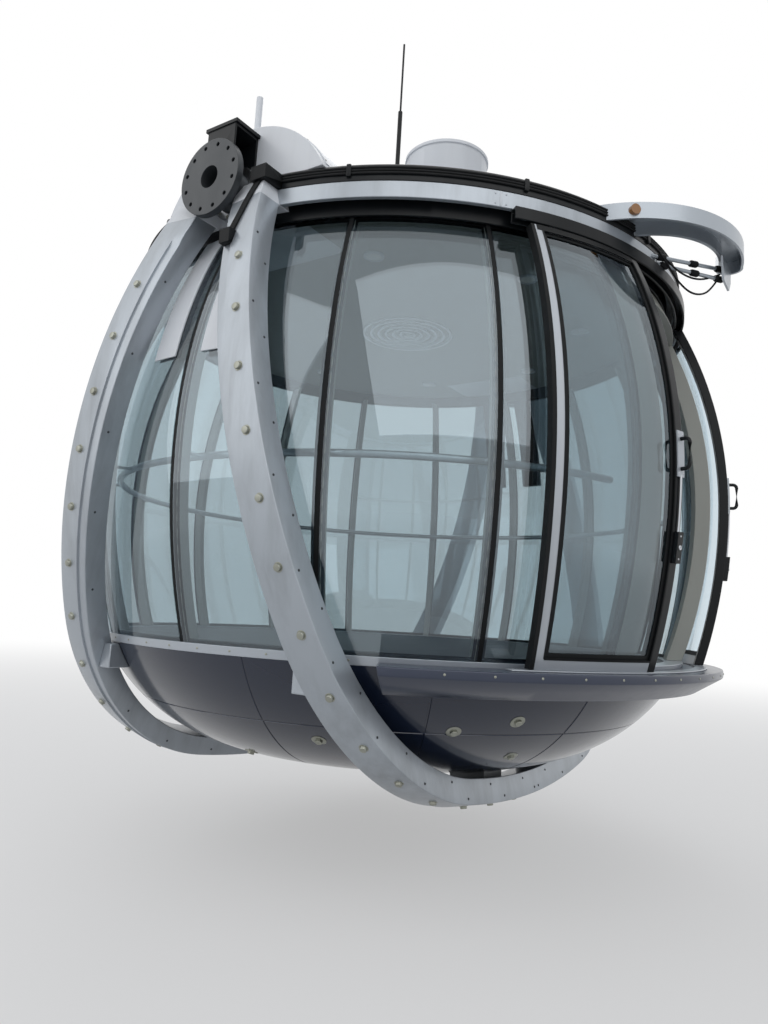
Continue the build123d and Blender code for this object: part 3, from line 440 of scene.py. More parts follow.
def makeWindows():
    # a pane in each bay, a seal at each end, and inside the glass a black border and strips behind the duct covers
    low, high = barrel["bottom"], barrel["top"]
    halfGap = math.degrees(windows["gap"] / 2 / barrel["middle"])
    frit = math.degrees(windows["fritWidth"] / barrel["middle"])
    sweep = windows["turn"] - 2 * halfGap
    bays = windows["door"] + np.arange(windows["firstBay"], windows["lastBay"] + 2) * windows["turn"]
    panes = [wallShell(barrel, 0, windows["thickness"], low, high, bay + halfGap, sweep) for bay in bays[:-1]]
    seals = [wallShell(barrel, windows["sealOuter"], windows["sealInner"], low, high, bay - halfGap, 2 * halfGap,
                       columns=3) for bay in bays]
    strips = []  # bottom, top, start, sweep, rows and columns of each frit
    for start in bays[:-1] + halfGap:
        strips += [(low, high, side, frit, 28, 3) for side in (start, start + sweep - frit)]
        strips += [(z, z + windows["fritWidth"], start, sweep, 3, 10) for z in (low, high - windows["fritWidth"])]
    strips += [(windows["coverBottom"], high, middle - windows["coverTurn"] / 2, windows["coverTurn"], 28, 5)
               for middle in windows["covers"]]
    frits = [wallShell(barrel, windows["fritOuter"], windows["fritInner"], *strip) for strip in strips]
    shellPiece("windowGlassPanes", panes, "window_panes", "windowGlass", replaced="window_panes")
    shellPiece("windowFrits", frits, "window_panes", "blackPaint", "window_joints")
    shellPiece("windowSeals", seals, "window_panes", "blackRubber", "window_joints", replaced="window_joints")


makeWindows()

leaf = dict(start=231.1, turn=21.6, thickness=0.050, stile=0.046, lead=0.064, topRail=0.034, bottomRail=0.052,
            seal=0.026, glassInset=0.015, radius=2.150)


def leafTurn(width):
    # a width on the leaf as a turn in degrees
    return math.degrees(width / leaf["radius"])


leafStile = leafTurn(leaf["stile"])
leafLead = leaf["turn"] - leafTurn(leaf["lead"])


def bothLeaves(base, shells, look, slotOf, replaced=None, smoothAngle=40.0):
    # the near leaf's piece and its mirror image across the plane x = 0, each on its own body
    for side, sign in (("near", 1.0), ("far", -1.0)):
        turned = [(points * (sign, 1.0, 1.0), faces) for points, faces in shells]
        shellPiece("leaf" + side.capitalize() + base, turned, f"leaf_{side}_{slotOf}", look, None, smoothAngle,
                   replaced and f"leaf_{side}_{replaced}")


def makeLeafGlass():
    low = sliding["bottom"] + leaf["bottomRail"] + leaf["seal"]
    high = sliding["top"] - leaf["topRail"] - leaf["seal"]
    seal, inset = leafTurn(leaf["seal"]), leaf["glassInset"]
    shell = wallShell(sliding, inset, leaf["thickness"] - inset, low, high, leaf["start"] + leafStile + seal,
                      leafLead - leafStile - 2 * seal)
    bothLeaves("Glass", [shell], "windowGlass", "glass", "glass")


makeLeafGlass()
print("glass ready")


# the hoops: a rounded section carried along three tangent arcs a side, on a plane that leans outwards

hoop = dict(
    tilt=14.0, apex=0.790, width=0.209, depth=0.130, half=2.162, widest=-2.094, sideArc=2.870, sideTurn=22.8,
    cornerArc=1.420, bottomArc=5.600, stepWidth=0.062, stepDepth=0.009, top=-0.160, stepTop=-0.300, stepRun=0.004,
    stepEdge=(-0.001, 0.0, 0.0012), stepReach=0.4, rounding=0.007, boltStep=0.305, boltRadius=0.0175, boltPlace=0.028,
    firstBolt=0.425, pinStep=0.42, pinRadius=0.0065,
    pinRows=((0.030, 1.0, 0.30), (0.098, 1.0, 0.47), (0.050, -1.0, 0.38)),  # inset, face's side, first place
)
tilt = math.radians(hoop["tilt"])
sideCentre = np.array([hoop["half"] - hoop["sideArc"], hoop["widest"]])
turnOff = math.radians(hoop["sideTurn"])
cornerCentre = sideCentre + (hoop["sideArc"] - hoop["cornerArc"]) * np.array([math.cos(turnOff), -math.sin(turnOff)])
bottomV = cornerCentre[1] + math.sqrt((hoop["bottomArc"] - hoop["cornerArc"]) ** 2 - cornerCentre[0] ** 2)
cornerTurn = math.atan2(bottomV - cornerCentre[1], cornerCentre[0])


def hoopPlace(x, v, n):
    # the leaning plane's own coordinates (along x, up the lean, out of the plane) as a place in the frame
    return np.stack([
        x, v * math.sin(tilt) - n * math.cos(tilt), hoop["apex"] + v * math.cos(tilt) + n * math.sin(tilt)
    ], axis=-1)


def hoopHalf(inset, n, steps=(60, 40, 34)):
    # right half of the outline from its level top to its lowest point: angles along the side, corner and bottom arcs,
    # each arc's radius less the inset; the top angle is where that arc reaches the level top
    inset, n = np.broadcast_arrays(np.asarray(inset, dtype=float), np.asarray(n, dtype=float))
    topV = (hoop["top"] - hoop["apex"] - n * math.sin(tilt)) / math.cos(tilt)
    side = hoop["sideArc"] - inset
    topTurn = np.arcsin((topV - hoop["widest"]) / side)
    share = np.linspace(0, 1, steps[0])[:, None]
    first = topTurn + share * (-turnOff - topTurn)
    second = np.linspace(-turnOff, -cornerTurn, steps[1])[1:, None] + 0 * inset
    third = np.linspace(-cornerTurn, -math.pi / 2, steps[2])[1:, None] + 0 * inset
    turns = np.concatenate([first, second, third])
    radius = np.concatenate([side + 0 * first, hoop["cornerArc"] - inset + 0 * second,
                             hoop["bottomArc"] - inset + 0 * third])
    rows = [len(first), len(second), len(third)]
    centreX = np.repeat([sideCentre[0], cornerCentre[0], 0.0], rows)[:, None]
    centreV = np.repeat([sideCentre[1], cornerCentre[1], bottomV], rows)[:, None]
    return centreX + radius * np.cos(turns), centreV + radius * np.sin(turns), turns


def roundedLoop(corners, radius, steps=4):
    # a closed loop of corners, each replaced by points along the arc that touches both its runs
    corners = np.asarray(corners, dtype=float)
    before, after = np.roll(corners, 1, axis=0), np.roll(corners, -1, axis=0)
    inward = (before - corners) / np.linalg.norm(before - corners, axis=1)[:, None]
    outward = (after - corners) / np.linalg.norm(after - corners, axis=1)[:, None]
    share = np.linspace(0, 1, steps)[None, :, None]
    start, end = corners + radius * inward, corners + radius * outward
    arc = (1 - share) ** 2 * start[:, None] + 2 * share * (1 - share) * corners[:, None] + share ** 2 * end[:, None]
    return arc.reshape(-1, 2)


def hoopShell():
    # the section's loop starts with one rounded corner's four points, after which the step's edge is cut in; a strip
    # of the outer face beside that corner is sunk by the step's depth, from a little below the hoop's top
    half, depth = hoop["width"] / 2, hoop["depth"]
    step = -half + hoop["stepWidth"]
    loop = roundedLoop([(0, -half), (0, half), (depth, half), (depth, -half)], hoop["rounding"])
    loop = np.concatenate([loop[:4], [(0, step + shift) for shift in hoop["stepEdge"]], loop[4:]])
    inset, n = loop.T
    sunk = (n <= step) & (inset < hoop["stepReach"] * depth)
    x, v, turns = hoopHalf(inset, n)
    level = hoopPlace(x, v, np.broadcast_to(n, x.shape))[..., 2]
    sink = np.clip((hoop["stepTop"] - level) / hoop["stepRun"], 0, 1) * hoop["stepDepth"] * sunk
    x, v = x - sink * np.cos(turns), v - sink * np.sin(turns)
    right = hoopPlace(x, v, np.broadcast_to(n, x.shape))
    whole = np.concatenate([right, right[-2::-1] * (-1.0, 1.0, 1.0)])
    return capped(whole, gridFaces(len(whole), len(loop), closeColumns=True))


def hoopPlaces(step, first, inset=0.0):
    # places every step metres along the outline, measured from the top, with the face's own turn at each
    x, v, turns = (row[:, 0] for row in hoopHalf([inset], [hoop["boltPlace"]], steps=(400, 300, 300)))
    run = np.concatenate([[0], np.cumsum(np.hypot(np.diff(x), np.diff(v)))])
    at = np.arange(first, run[-1], step)
    return zip(np.interp(at, run, x), np.interp(at, run, v), np.interp(at, run, turns))


# heads as (radius, height) in head radii: a washer with a round head, a socket screw, a hexagon and its washer

domeProfile = [(0.0, 0.0), (1.34, 0.0), (1.34, 0.09), (1.28, 0.14), (1.02, 0.14), (1.0, 0.20), (1.0, 0.70),
               (0.92, 0.82), (0.66, 0.88), (0.0, 0.89)]
screwProfile = [(0.0, 0.0), (1.0, 0.0), (1.0, 0.25), (0.8, 0.50), (0.35, 0.62), (0.30, 0.45), (0.0, 0.45)]
hexProfile = [(0.0, 0.0), (1.0, 0.0), (1.0, 0.72), (0.88, 0.84), (0.0, 0.84)]
washerProfile = [(0.0, 0.0), (1.9, 0.0), (1.9, 0.13), (1.8, 0.19), (0.0, 0.19)]


def boltAt(place, axis, radius, profile=screwProfile, sides=12, sink=0.0005):
    # a head that reaches a little below the surface it stands on
    return lathed(np.array(profile) * radius, place - sink * np.asarray(axis, dtype=float), axis, sides)


def makeHoops():
    # the back hoop is the front one's mirror image across the plane y = 0, and each hoop's far half its near half's
    beam, beamFaces = hoopShell()
    for node, side in (("hoop_front", 1.0), ("hoop_back", -1.0)):
        halves = ((1.0, side, 1.0), (-1.0, side, 1.0))
        shellPiece(node + "Beam", [(beam * halves[0], beamFaces)], node, smoothAngle=30.0, replaced=node)
        bolts, shadedHolePins = [], []
        for x, v, turn in hoopPlaces(hoop["boltStep"], hoop["firstBolt"]):
            normal = np.array([math.cos(turn), math.sin(turn) * math.sin(tilt), math.sin(turn) * math.cos(tilt)])
            place = hoopPlace(x, v, hoop["boltPlace"])
            head, faces = boltAt(place, normal, hoop["boltRadius"], domeProfile, 20, 0.001)
            bolts += [(head * half, faces) for half in halves]
        # small screws along the side faces, in dark paint that is partly a painted shade of the small holes they sit
        # in
        for inset, face, first in hoop["pinRows"]:
            outOfPlane = np.array([0.0, -math.cos(tilt), math.sin(tilt)]) * face
            for x, v, turn in hoopPlaces(hoop["pinStep"], first, inset):
                place = hoopPlace(x, v, face * hoop["width"] / 2)
                head, faces = boltAt(place, outOfPlane, hoop["pinRadius"])
                shadedHolePins += [(head * half, faces) for half in halves]
        shellPiece(node + "Bolts", bolts, node, "boltMetal", "bearing_collars", 35.0)
        shellPiece(node + "Screws", shadedHolePins, node, "darkPaint", "trunnion_near", 35.0)


makeHoops()
print("hoops ready")


# belly: a bowl turned from one arc, with narrow seams sunk into its skin

belly = dict(
    topZ=-2.420, shoulder=(1.590, -2.770), base=(0.880, -3.052), wall=0.014, seamDepth=0.004, seamWidth=0.007,
    seams=(15.0, 60.0, 105.0, 150.0, 191.0, 219.0, 246.0, 285.0, 330.0), seamRadius=1.5, seamReach=1.6, bandZ=-2.735,
    rows=46, turnStep=3.0, boltRadius=0.020,
    bolts=((200.5, -2.814), (208.4, -2.846), (204.1, -2.590), (223.9, -2.719), (234.3, -2.660), (238.8, -2.868),
           (175.8, -2.982)),
)


def circleThrough(a, b, c):
    # centre of the circle through three points of a plane, from its two chords' middle lines
    a, b, c = (np.asarray(p, dtype=float) for p in (a, b, c))
    lines = 2 * np.array([b - a, c - a])
    centre = np.linalg.solve(lines, np.array([b @ b - a @ a, c @ c - a @ a]))
    return centre, float(np.linalg.norm(a - centre))


bellyTop = (float(wallRadius(barrel, belly["topZ"])), belly["topZ"])
bellyCentre, bellyRadius = circleThrough(bellyTop, belly["shoulder"], belly["base"])


def bellyPlace(direction, z):
    # point on the skin at a height, and the skin's outward direction there
    turn = math.radians(direction)
    away = math.sqrt(bellyRadius ** 2 - (z - bellyCentre[1]) ** 2)
    axis = np.array([away * math.cos(turn), away * math.sin(turn), z - bellyCentre[1]]) / bellyRadius
    return (bellyCentre[0] + away) * outwardAt(turn) + z * upAxis, axis


def makeBelly():
    # the skin and the inside are the same arc at two radii; at a seam the outer one is less by the seam's depth
    start = math.atan2(bellyTop[1] - bellyCentre[1], bellyTop[0] - bellyCentre[0])
    end = math.atan2(belly["base"][1] - bellyCentre[1], belly["base"][0] - bellyCentre[0])
    band = math.asin((belly["bandZ"] - bellyCentre[1]) / bellyRadius)
    narrow = belly["seamWidth"] / 2 / bellyRadius
    reach = belly["seamReach"]
    edges = (-reach, -1, 1, reach)
    along = np.concatenate([np.linspace(start, end, belly["rows"]), band + narrow * np.array(edges)])
    along = np.sort(along)[::-1]
    seams = np.asarray(belly["seams"])
    narrowTurn = math.degrees(belly["seamWidth"] / 2 / belly["seamRadius"])
    around = np.arange(0, 360, belly["turnStep"])
    around = np.sort(np.concatenate([around, *(seams + narrowTurn * k for k in edges)]))
    distance = np.abs((around[:, None] - seams + 180) % 360 - 180).min(axis=1)
    sunkTurn = np.clip((reach - distance / narrowTurn) / (reach - 1), 0, 1)[:, None]
    sunkBand = np.clip((reach - np.abs(along - band) / narrow) / (reach - 1), 0, 1)[None, :]
    turn = np.radians(around)[:, None]

    def bowl(arc):
        radius = bellyCentre[0] + arc * np.cos(along)
        return np.stack([radius * np.cos(turn), radius * np.sin(turn), bellyCentre[1] + arc * np.sin(along)], axis=2)

    skin = bowl(bellyRadius - belly["seamDepth"] * np.maximum(sunkTurn, sunkBand))
    inside = bowl(bellyRadius - belly["wall"] + 0 * turn)[:, ::-1]
    loops = np.concatenate([skin, inside], axis=1)
    rows, columns = loops.shape[:2]
    count = rows * columns
    lowOuter, lowInner = len(along) - 1, len(along)
    faces = gridFaces(rows, columns, closeRows=True)
    keep = ~((faces % columns == lowOuter) | (faces % columns == lowInner)).all(axis=1)
    rim = gridFaces(rows, 2, closeRows=True)
    rim = rim // 2 * columns + rim % 2 * (columns - 1)
    ring = np.arange(rows) * columns
    nextRing = np.roll(ring, -1)
    discs = np.concatenate([
        np.stack([nextRing + lowOuter, ring + lowOuter, np.full(rows, count)], axis=1),
        np.stack([ring + lowInner, nextRing + lowInner, np.full(rows, count + 1)], axis=1),
    ])
    middle = [[0, 0, belly["base"][1]], [0, 0, belly["base"][1] + belly["wall"]]]
    points = np.concatenate([loops.reshape(-1, 3), middle])
    shellPiece("bellySkin", [(points, (faces[keep], rim, discs))], "belly_bowl", smoothAngle=30.0,
               replaced="belly_bowl")
    bolts = []
    for direction, z in belly["bolts"]:
        for profile, sides in ((hexProfile, 6), (washerProfile, 28)):
            bolts.append(boltAt(*bellyPlace(direction, z), belly["boltRadius"], profile, sides, 0.001))
    shellPiece("bellyBolts", bolts, "belly_bowl", "boltMetal", "bearing_collars", 35.0)


makeBelly()
print("belly ready")


# nodes whose shape is kept, with rounded edges and smooth shading

rounding = {
    "hub_far": 0.010, "hub_near": 0.010, "drive_box_far": 0.004, "drive_box_near": 0.004, "bearing_collars": 0.003,
    "trunnion_far": 0.003, "trunnion_near": 0.003, "rim_band": 0.003, "cable_band": 0.004, "roof_soffit": 0.002,
    "roof_upstand": 0.003, "mast": 0.003, "docking_arm": 0.004, "docking_lamp": 0.003, "hoop_brackets": 0.005,
    "belly_saddles": 0.005, "sill_ring": 0.003, "door_ledge": 0.005, "lower_track": 0.003, "upper_track": 0.003,
    "door_header": 0.004, "door_jambs": 0.004, "cabin_posts": 0.006, "duct_covers": 0.002, "floor_deck": 0.003,
    "leaf_near_frame": 0.003, "leaf_far_frame": 0.003, "leaf_near_edge": 0.003, "leaf_far_edge": 0.003,
    "leaf_near_seal": 0.002, "leaf_far_seal": 0.002, "whip_antenna": 0.001, "ceiling": 0.002,
    "roof_shell": 0.0, "handrail": 0.0,
}
for node, width in rounding.items():
    refinedCopy(node, width)
print("kept shapes refined:", len(rounding))


# roof edge: cable strands on the black band, clips over them, joint straps on the silver band

roofEdge = dict(
    strands=((1.840, -0.034), (1.839, -0.019), (1.838, -0.004)), strandRadius=0.007, strandStep=1.5, clear=10.2,
    clipStep=28.0, clipPlace=(1.831, -0.020), clipClear=(12.0, 4.0), clipSize=(0.026, 0.066, 0.020),
    strapStep=36.0, firstStrap=262.0, nearHub=0.25, strapPlace=(1.839, -0.1175), strapSize=(0.012, 0.080, 0.0025),
    strapScrews=(0.028, 0.026), screwRadius=0.0055,
)
softBlock = dict(edge=0.25, power=0.30, sides=24, shoulder=(0.3, 0.5), face=1.6)  # the last two in edge widths


def softBlockShell(place, turn, size):
    # a block on a wall with softened corners: a superellipse section in length and height, closing along its depth
    angle = np.linspace(0, 2 * np.pi, softBlock["sides"], endpoint=False)
    x, y = (np.sign(wave) * np.abs(wave) ** softBlock["power"] for wave in (np.cos(angle), np.sin(angle)))
    length, height, depth = size
    edge = softBlock["edge"] * min(size)
    below, within = softBlock["shoulder"]
    lift, share = np.array([
        (0.0, 0.0), (0.0, 1.0), (depth - edge, 1.0), (depth - below * edge, 1 - within * edge / height),
        (depth, 1 - softBlock["face"] * edge / height), (depth, 0.0),
    ]).T[:, :, None]
    local = np.stack([lift + 0 * x, share * x * length / 2, share * y * height / 2], axis=2)
    points = place + local @ np.array([outwardAt(turn), alongAt(turn), upAxis])
    return points, gridFaces(len(lift), len(x), closeColumns=True)


def ringPlace(radiusAndHeight, turn):
    # place at a distance from the upright axis and a height, turned about that axis
    radius, z = radiusAndHeight
    return radius * outwardAt(turn) + z * upAxis


def makeRoofEdge():
    strands, clips, straps = [], [], []
    step = roofEdge["strandStep"]
    for low in (0.0, 180.0):
        start, end = low + roofEdge["clear"], low + 180.0 - roofEdge["clear"]
        for strand in roofEdge["strands"]:
            path = [ringPlace(strand, turn) for turn in np.radians(np.arange(start, end + step / 2, step))]
            strands.append(rodShell(path, roofEdge["strandRadius"], 10))
        for turn in np.radians(np.arange(start + roofEdge["clipClear"][0], end - roofEdge["clipClear"][1],
                                         roofEdge["clipStep"])):
            clips.append(softBlockShell(ringPlace(roofEdge["clipPlace"], turn), turn, roofEdge["clipSize"]))
    screwAlong, screwUp = roofEdge["strapScrews"]
    for turn in np.radians(roofEdge["firstStrap"] + np.arange(0, 360, roofEdge["strapStep"])):
        if abs(math.sin(turn)) < roofEdge["nearHub"]:
            continue
        place = ringPlace(roofEdge["strapPlace"], turn)
        straps.append(softBlockShell(place, turn, roofEdge["strapSize"]))
        for shift in (-screwAlong, screwAlong):
            for rise in (-screwUp, screwUp):
                spot = place + shift * alongAt(turn) + rise * upAxis
                straps.append(boltAt(spot, outwardAt(turn), roofEdge["screwRadius"], sink=0.0))
    shellPiece("roofCables", strands, "cable_band", "blackRubber")
    shellPiece("roofCableClips", clips, "cable_band", "blackPaint")
    shellPiece("roofBandJoints", straps, "rim_band", "shadeSilver", smoothAngle=30.0)


makeRoofEdge()
print("roof edge ready")


# screws round the sill, and round the ledge where the doors are

sillLook = dict(screwStep=6.0, screwRadius=0.006, sillZ=-2.397, ledgeZ=-2.420, ledgeRadius=2.100, ledgeHalf=56.0,
                ledgeEnd=5.0, door=270.0)


def makeSillScrews():
    shells = []
    for direction in np.arange(sillLook["screwStep"] / 2, 360.0, sillLook["screwStep"]):
        away = abs((direction - sillLook["door"] + 180) % 360 - 180)
        if sillLook["ledgeHalf"] <= away <= sillLook["ledgeHalf"] + sillLook["ledgeEnd"]:
            continue
        if away < sillLook["ledgeHalf"]:
            radius, z = sillLook["ledgeRadius"], sillLook["ledgeZ"]
        else:
            radius, z = float(wallRadius(barrel, sillLook["sillZ"])), sillLook["sillZ"]
        turn = math.radians(direction)
        shells.append(boltAt(ringPlace((radius, z), turn), outwardAt(turn), sillLook["screwRadius"]))
    shellPiece("sillScrews", shells, "sill_ring", "boltMetal", "bearing_collars", 35.0)


makeSillScrews()


# leaf fittings: gaskets beside the stiles and rails, handle plates, latches, pulls and the rods between them

gasket = dict(width=0.010, proud=0.003, depth=0.004, stileShare=0.4, railWidth=0.006, coverProud=0.002,
              coverStart=0.3, coverLap=0.002, coverClear=0.001, tailTurn=0.55, tailSweep=0.58, tailClear=0.003)


def leafPoint(turnIn, z, lift=0.0):
    # place on the near leaf's outer face at a turn from its trailing end, and the outward direction there
    turn = math.radians(leaf["start"] + turnIn)
    return ringPlace((float(wallRadius(sliding, z)) + lift, z), turn), outwardAt(turn)


def makeGaskets():
    low = sliding["bottom"] + leaf["bottomRail"]
    high = sliding["top"] - leaf["topRail"]
    width = leafTurn(gasket["width"])
    proud, depth, rail, cover = -gasket["proud"], gasket["depth"], gasket["railWidth"], -gasket["coverProud"]
    span = leafLead - leafStile
    onStile, coverStart = gasket["stileShare"] * width, gasket["coverStart"] * leafStile
    top, bottom, clear = sliding["top"], sliding["bottom"], gasket["tailClear"]
    rows = [  # outer and inner inset, bottom, top, start, sweep, rows and columns
        (proud, depth, low, high, leafStile - onStile, width, 28, 3),
        (proud, depth, low, high, leafLead - (width - onStile), width, 28, 3),
        (proud, depth, low - rail, low + depth, leafStile, span, 3, 16),
        (proud, depth, high - depth, high + rail, leafStile, span, 3, 16),
        (cover, depth, high - gasket["coverLap"], top - gasket["coverClear"], coverStart, leafLead - coverStart,
         4, 16),
        (cover, leaf["thickness"] - depth, bottom + clear, top - clear, -gasket["tailTurn"], gasket["tailSweep"],
         28, 3),
    ]
    shells = [wallShell(sliding, *row[:4], leaf["start"] + row[4], *row[5:]) for row in rows]
    bothLeaves("Gaskets", shells, "blackRubber", "seal")


makeGaskets()

handle = dict(
    plate=dict(z=-1.330, width=0.056, height=0.230, depth=0.010, rows=8),
    latch=dict(z=-1.790, width=0.044, height=0.150, depth=0.026, rows=6),
    barRadius=0.010, barLength=0.150, barOffset=0.044, barBend=0.022, barFoot=0.002, rodRadius=0.006, rodLift=0.008,
    rodInset=0.010, plateScrews=(0.018, 0.098), latchScrews=0.055, screwRadius=0.005, lockRadius=0.012,
)
handleTurn = (leafLead + leaf["turn"]) / 2
lockProfile = [(0.0, 0.0), (1.0, 0.0), (1.0, 0.35), (0.9, 0.45), (0.45, 0.45), (0.45, 0.25), (0.0, 0.25)]


def dPath(low, high, foot, reach, bend, steps=7):
    # height and lift of a D-shaped bar: out from the foot, round a quarter circle, down, and back the same way
    turn = np.linspace(0, math.pi / 2, steps)
    top = np.stack([high - bend + bend * np.sin(turn[::-1]), reach - bend + bend * np.cos(turn[::-1])], axis=1)
    top = np.concatenate([[[high, foot]], top])
    return np.concatenate([top, np.stack([low + high - top[::-1, 0], top[::-1, 1]], axis=1)])


def platedShell(plate):
    # a plate on the leaf's lead stile that follows the bulge
    half = leafTurn(plate["width"] / 2)
    return wallShell(sliding, -plate["depth"], 0.0, plate["z"] - plate["height"] / 2, plate["z"] + plate["height"] / 2,
                     leaf["start"] + handleTurn - half, 2 * half, rows=plate["rows"], columns=4)


def makeHandles():
    plate, latch = handle["plate"], handle["latch"]
    z, latchZ = plate["z"], latch["z"]
    outward = leafPoint(handleTurn, z)[1]
    route = dPath(z - handle["barLength"] / 2, z + handle["barLength"] / 2, plate["depth"] - handle["barFoot"],
                  plate["depth"] + handle["barOffset"], handle["barBend"])
    path = (wallRadius(sliding, z) + route[:, 1:]) * outward + route[:, :1] * upAxis
    pull = rodShell(path, handle["barRadius"], 14)
    rodZ = np.linspace(z - plate["height"] / 2 + handle["rodInset"],
                       latchZ + latch["height"] / 2 - handle["rodInset"], 9)[:, None]
    rods = [rodShell((wallRadius(sliding, rodZ) + handle["rodLift"]) * outward + rodZ * upAxis, handle["rodRadius"])]
    side, rise = leafTurn(handle["plateScrews"][0]), handle["plateScrews"][1]
    spots = [(turn, z + dz, plate["depth"]) for dz in (rise, -rise) for turn in (-side, side)]
    spots += [(0.0, latchZ + dz, latch["depth"]) for dz in (handle["latchScrews"], -handle["latchScrews"])]
    for turn, height, lift in spots:
        rods.append(boltAt(*leafPoint(handleTurn + turn, height, lift), handle["screwRadius"]))
    lock = leafPoint(handleTurn, latchZ, latch["depth"])
    rods.append(boltAt(*lock, handle["lockRadius"], lockProfile, 20, 0.001))
    bothLeaves("HandlePlate", [platedShell(plate)], "shadeSilver", "frame", None, 30.0)
    bothLeaves("Latch", [platedShell(latch)], "blackPaint", "handle", None, 30.0)
    bothLeaves("HandlePull", [pull], "blackPaint", "handle", "handle")
    bothLeaves("LatchRod", rods, "brightMetal", "handle")


makeHandles()
print("leaf trim ready")


# roof: standing seams on the dome, guard in the ventilator, ring of lamps and a grille under the ceiling

roof = dict(
    rise=0.180, edgeRadius=1.790, crown=0.105, seams=12, firstSeam=15.0, seamWidth=0.014, seamHeight=0.010,
    seamFoot=0.004, seamShoulder=0.4, seamCrown=0.6, seamRows=30,  # shoulder and crown as shares of the size
    innerEnd=0.20, outerEnd=1.74, ventClear=0.27, hubFrom=1.20, hubHalf=0.62,
    cap=((0.0, -0.004), (0.235, -0.008), (0.235, 0.004), (0.225, 0.012), (0.06, 0.016), (0.0, 0.017)),
)
roofSphere = (roof["rise"] ** 2 + roof["edgeRadius"] ** 2) / (2 * roof["rise"])
vent = dict(direction=221.2, distance=1.175, radius=0.223, guardZ=0.425, wire=0.004, wireSides=8, rings=4,
            ringSteps=48, spokes=8, spokeDrop=0.006,
            boss=((0.0, -0.016), (0.03, -0.016), (0.03, 0.004), (0.024, 0.008), (0.0, 0.008)))
ventMiddle = ringPlace((vent["distance"], vent["guardZ"]), math.radians(vent["direction"]))


def domeHeight(radius):
    # height of the roof's sphere over a distance from the upright axis
    return roof["crown"] - roofSphere + np.sqrt(roofSphere ** 2 - np.asarray(radius) ** 2)


def makeRoofSeams():
    # each seam is a low rounded rib that follows the dome from near the crown to the edge, a hub or the ventilator
    shells = []
    half, height, foot = roof["seamWidth"] / 2, roof["seamHeight"], -roof["seamFoot"]
    shoulder, crown = roof["seamShoulder"] * height, roof["seamCrown"] * half
    profile = np.array([(-half, foot), (-half, shoulder), (-crown, height), (crown, height), (half, shoulder),
                        (half, foot)])
    for turn in evenTurns(roof["seams"], roof["firstSeam"]):
        radius = np.linspace(roof["innerEnd"], roof["outerEnd"], roof["seamRows"])
        spots = radius[:, None] * outwardAt(turn)[:2]
        nearVent = np.hypot(*(spots - ventMiddle[:2]).T) < roof["ventClear"]
        nearHub = (np.abs(spots[:, 0]) > roof["hubFrom"]) & (np.abs(spots[:, 1]) < roof["hubHalf"])
        stop = np.flatnonzero(nearVent | nearHub)
        radius = radius[:stop[0]] if len(stop) else radius
        points = (radius[:, None, None] * outwardAt(turn) + profile[:, :1] * alongAt(turn)
                  + (domeHeight(radius)[:, None] + profile[:, 1])[..., None] * upAxis)
        shells.append(capped(points, gridFaces(len(radius), len(profile), closeColumns=True)))
    shells.append(lathed(roof["cap"], (0, 0, float(domeHeight(0.0))), upAxis, 48))
    shellPiece("roofSeams", shells, "roof_shell", smoothAngle=30.0)


def makeVentGuard():
    shells = []
    tube = evenTurns(vent["wireSides"])
    for radius in np.linspace(vent["radius"] / vent["rings"], vent["radius"], vent["rings"]):
        section = np.stack([radius + vent["wire"] * np.cos(tube), vent["wire"] * np.sin(tube)], axis=1)
        points, faces = turnedShell(section, np.degrees(evenTurns(vent["ringSteps"])), closed=True)
        shells.append((points + ventMiddle, faces))
    for turn in evenTurns(vent["spokes"]):
        path = ventMiddle + np.linspace(0.0, vent["radius"], 4)[:, None] * outwardAt(turn) - vent["spokeDrop"] * upAxis
        shells.append(rodShell(path, vent["wire"], vent["wireSides"]))
    shells.append(lathed(vent["boss"], ventMiddle, upAxis, 24))
    shellPiece("ventGuard", shells, "roof_upstand", "darkPaint", "trunnion_near")


makeRoofSeams()
makeVentGuard()

cabinCeiling = dict(
    z=-0.160, lampRadius=0.045, lampRing=1.22, lamps=8, firstLamp=22.5, grilleRings=6, grilleRadius=0.32,
    rim=((0.0, -0.002), (1.35, -0.002), (1.35, 0.006), (1.2, 0.012), (1.0, 0.010), (1.0, 0.004), (0.0, 0.004)),
    lens=((0.0, 0.003), (0.985, 0.003), (0.985, 0.008), (0.7, 0.011), (0.0, 0.012)),  # lamp radii and metres
    slat=((-0.016, 0.001), (0.0, 0.001), (0.006, -0.014), (-0.010, -0.014)), slatRounding=0.002, slatStep=7.5,
)


def makeCeilingFittings():
    lenses, rims = [], []
    lampSize = (cabinCeiling["lampRadius"], 1.0)
    for turn in evenTurns(cabinCeiling["lamps"], cabinCeiling["firstLamp"]):
        place = ringPlace((cabinCeiling["lampRing"], cabinCeiling["z"]), turn)
        for shells, profile in ((rims, "rim"), (lenses, "lens")):
            shells.append(lathed(np.array(cabinCeiling[profile]) * lampSize, place, -upAxis, 32))
    for index in range(cabinCeiling["grilleRings"]):
        outer = cabinCeiling["grilleRadius"] * (index + 1) / cabinCeiling["grilleRings"]
        corners = np.array(cabinCeiling["slat"]) + (outer, cabinCeiling["z"])
        slat = roundedLoop(corners, cabinCeiling["slatRounding"], 3)
        rims.append(turnedShell(slat, np.arange(0, 360, cabinCeiling["slatStep"]), closed=True))
    shellPiece("ceilingLampRims", rims, "ceiling", "whitePaint", smoothAngle=35.0)
    shellPiece("ceilingLamps", lenses, "ceiling", "lampWhite", smoothAngle=35.0)


makeCeilingFittings()
print("roof and ceiling ready")


# hubs: straps with screws over the rounded caps, bolts round the collars and on the drive plates

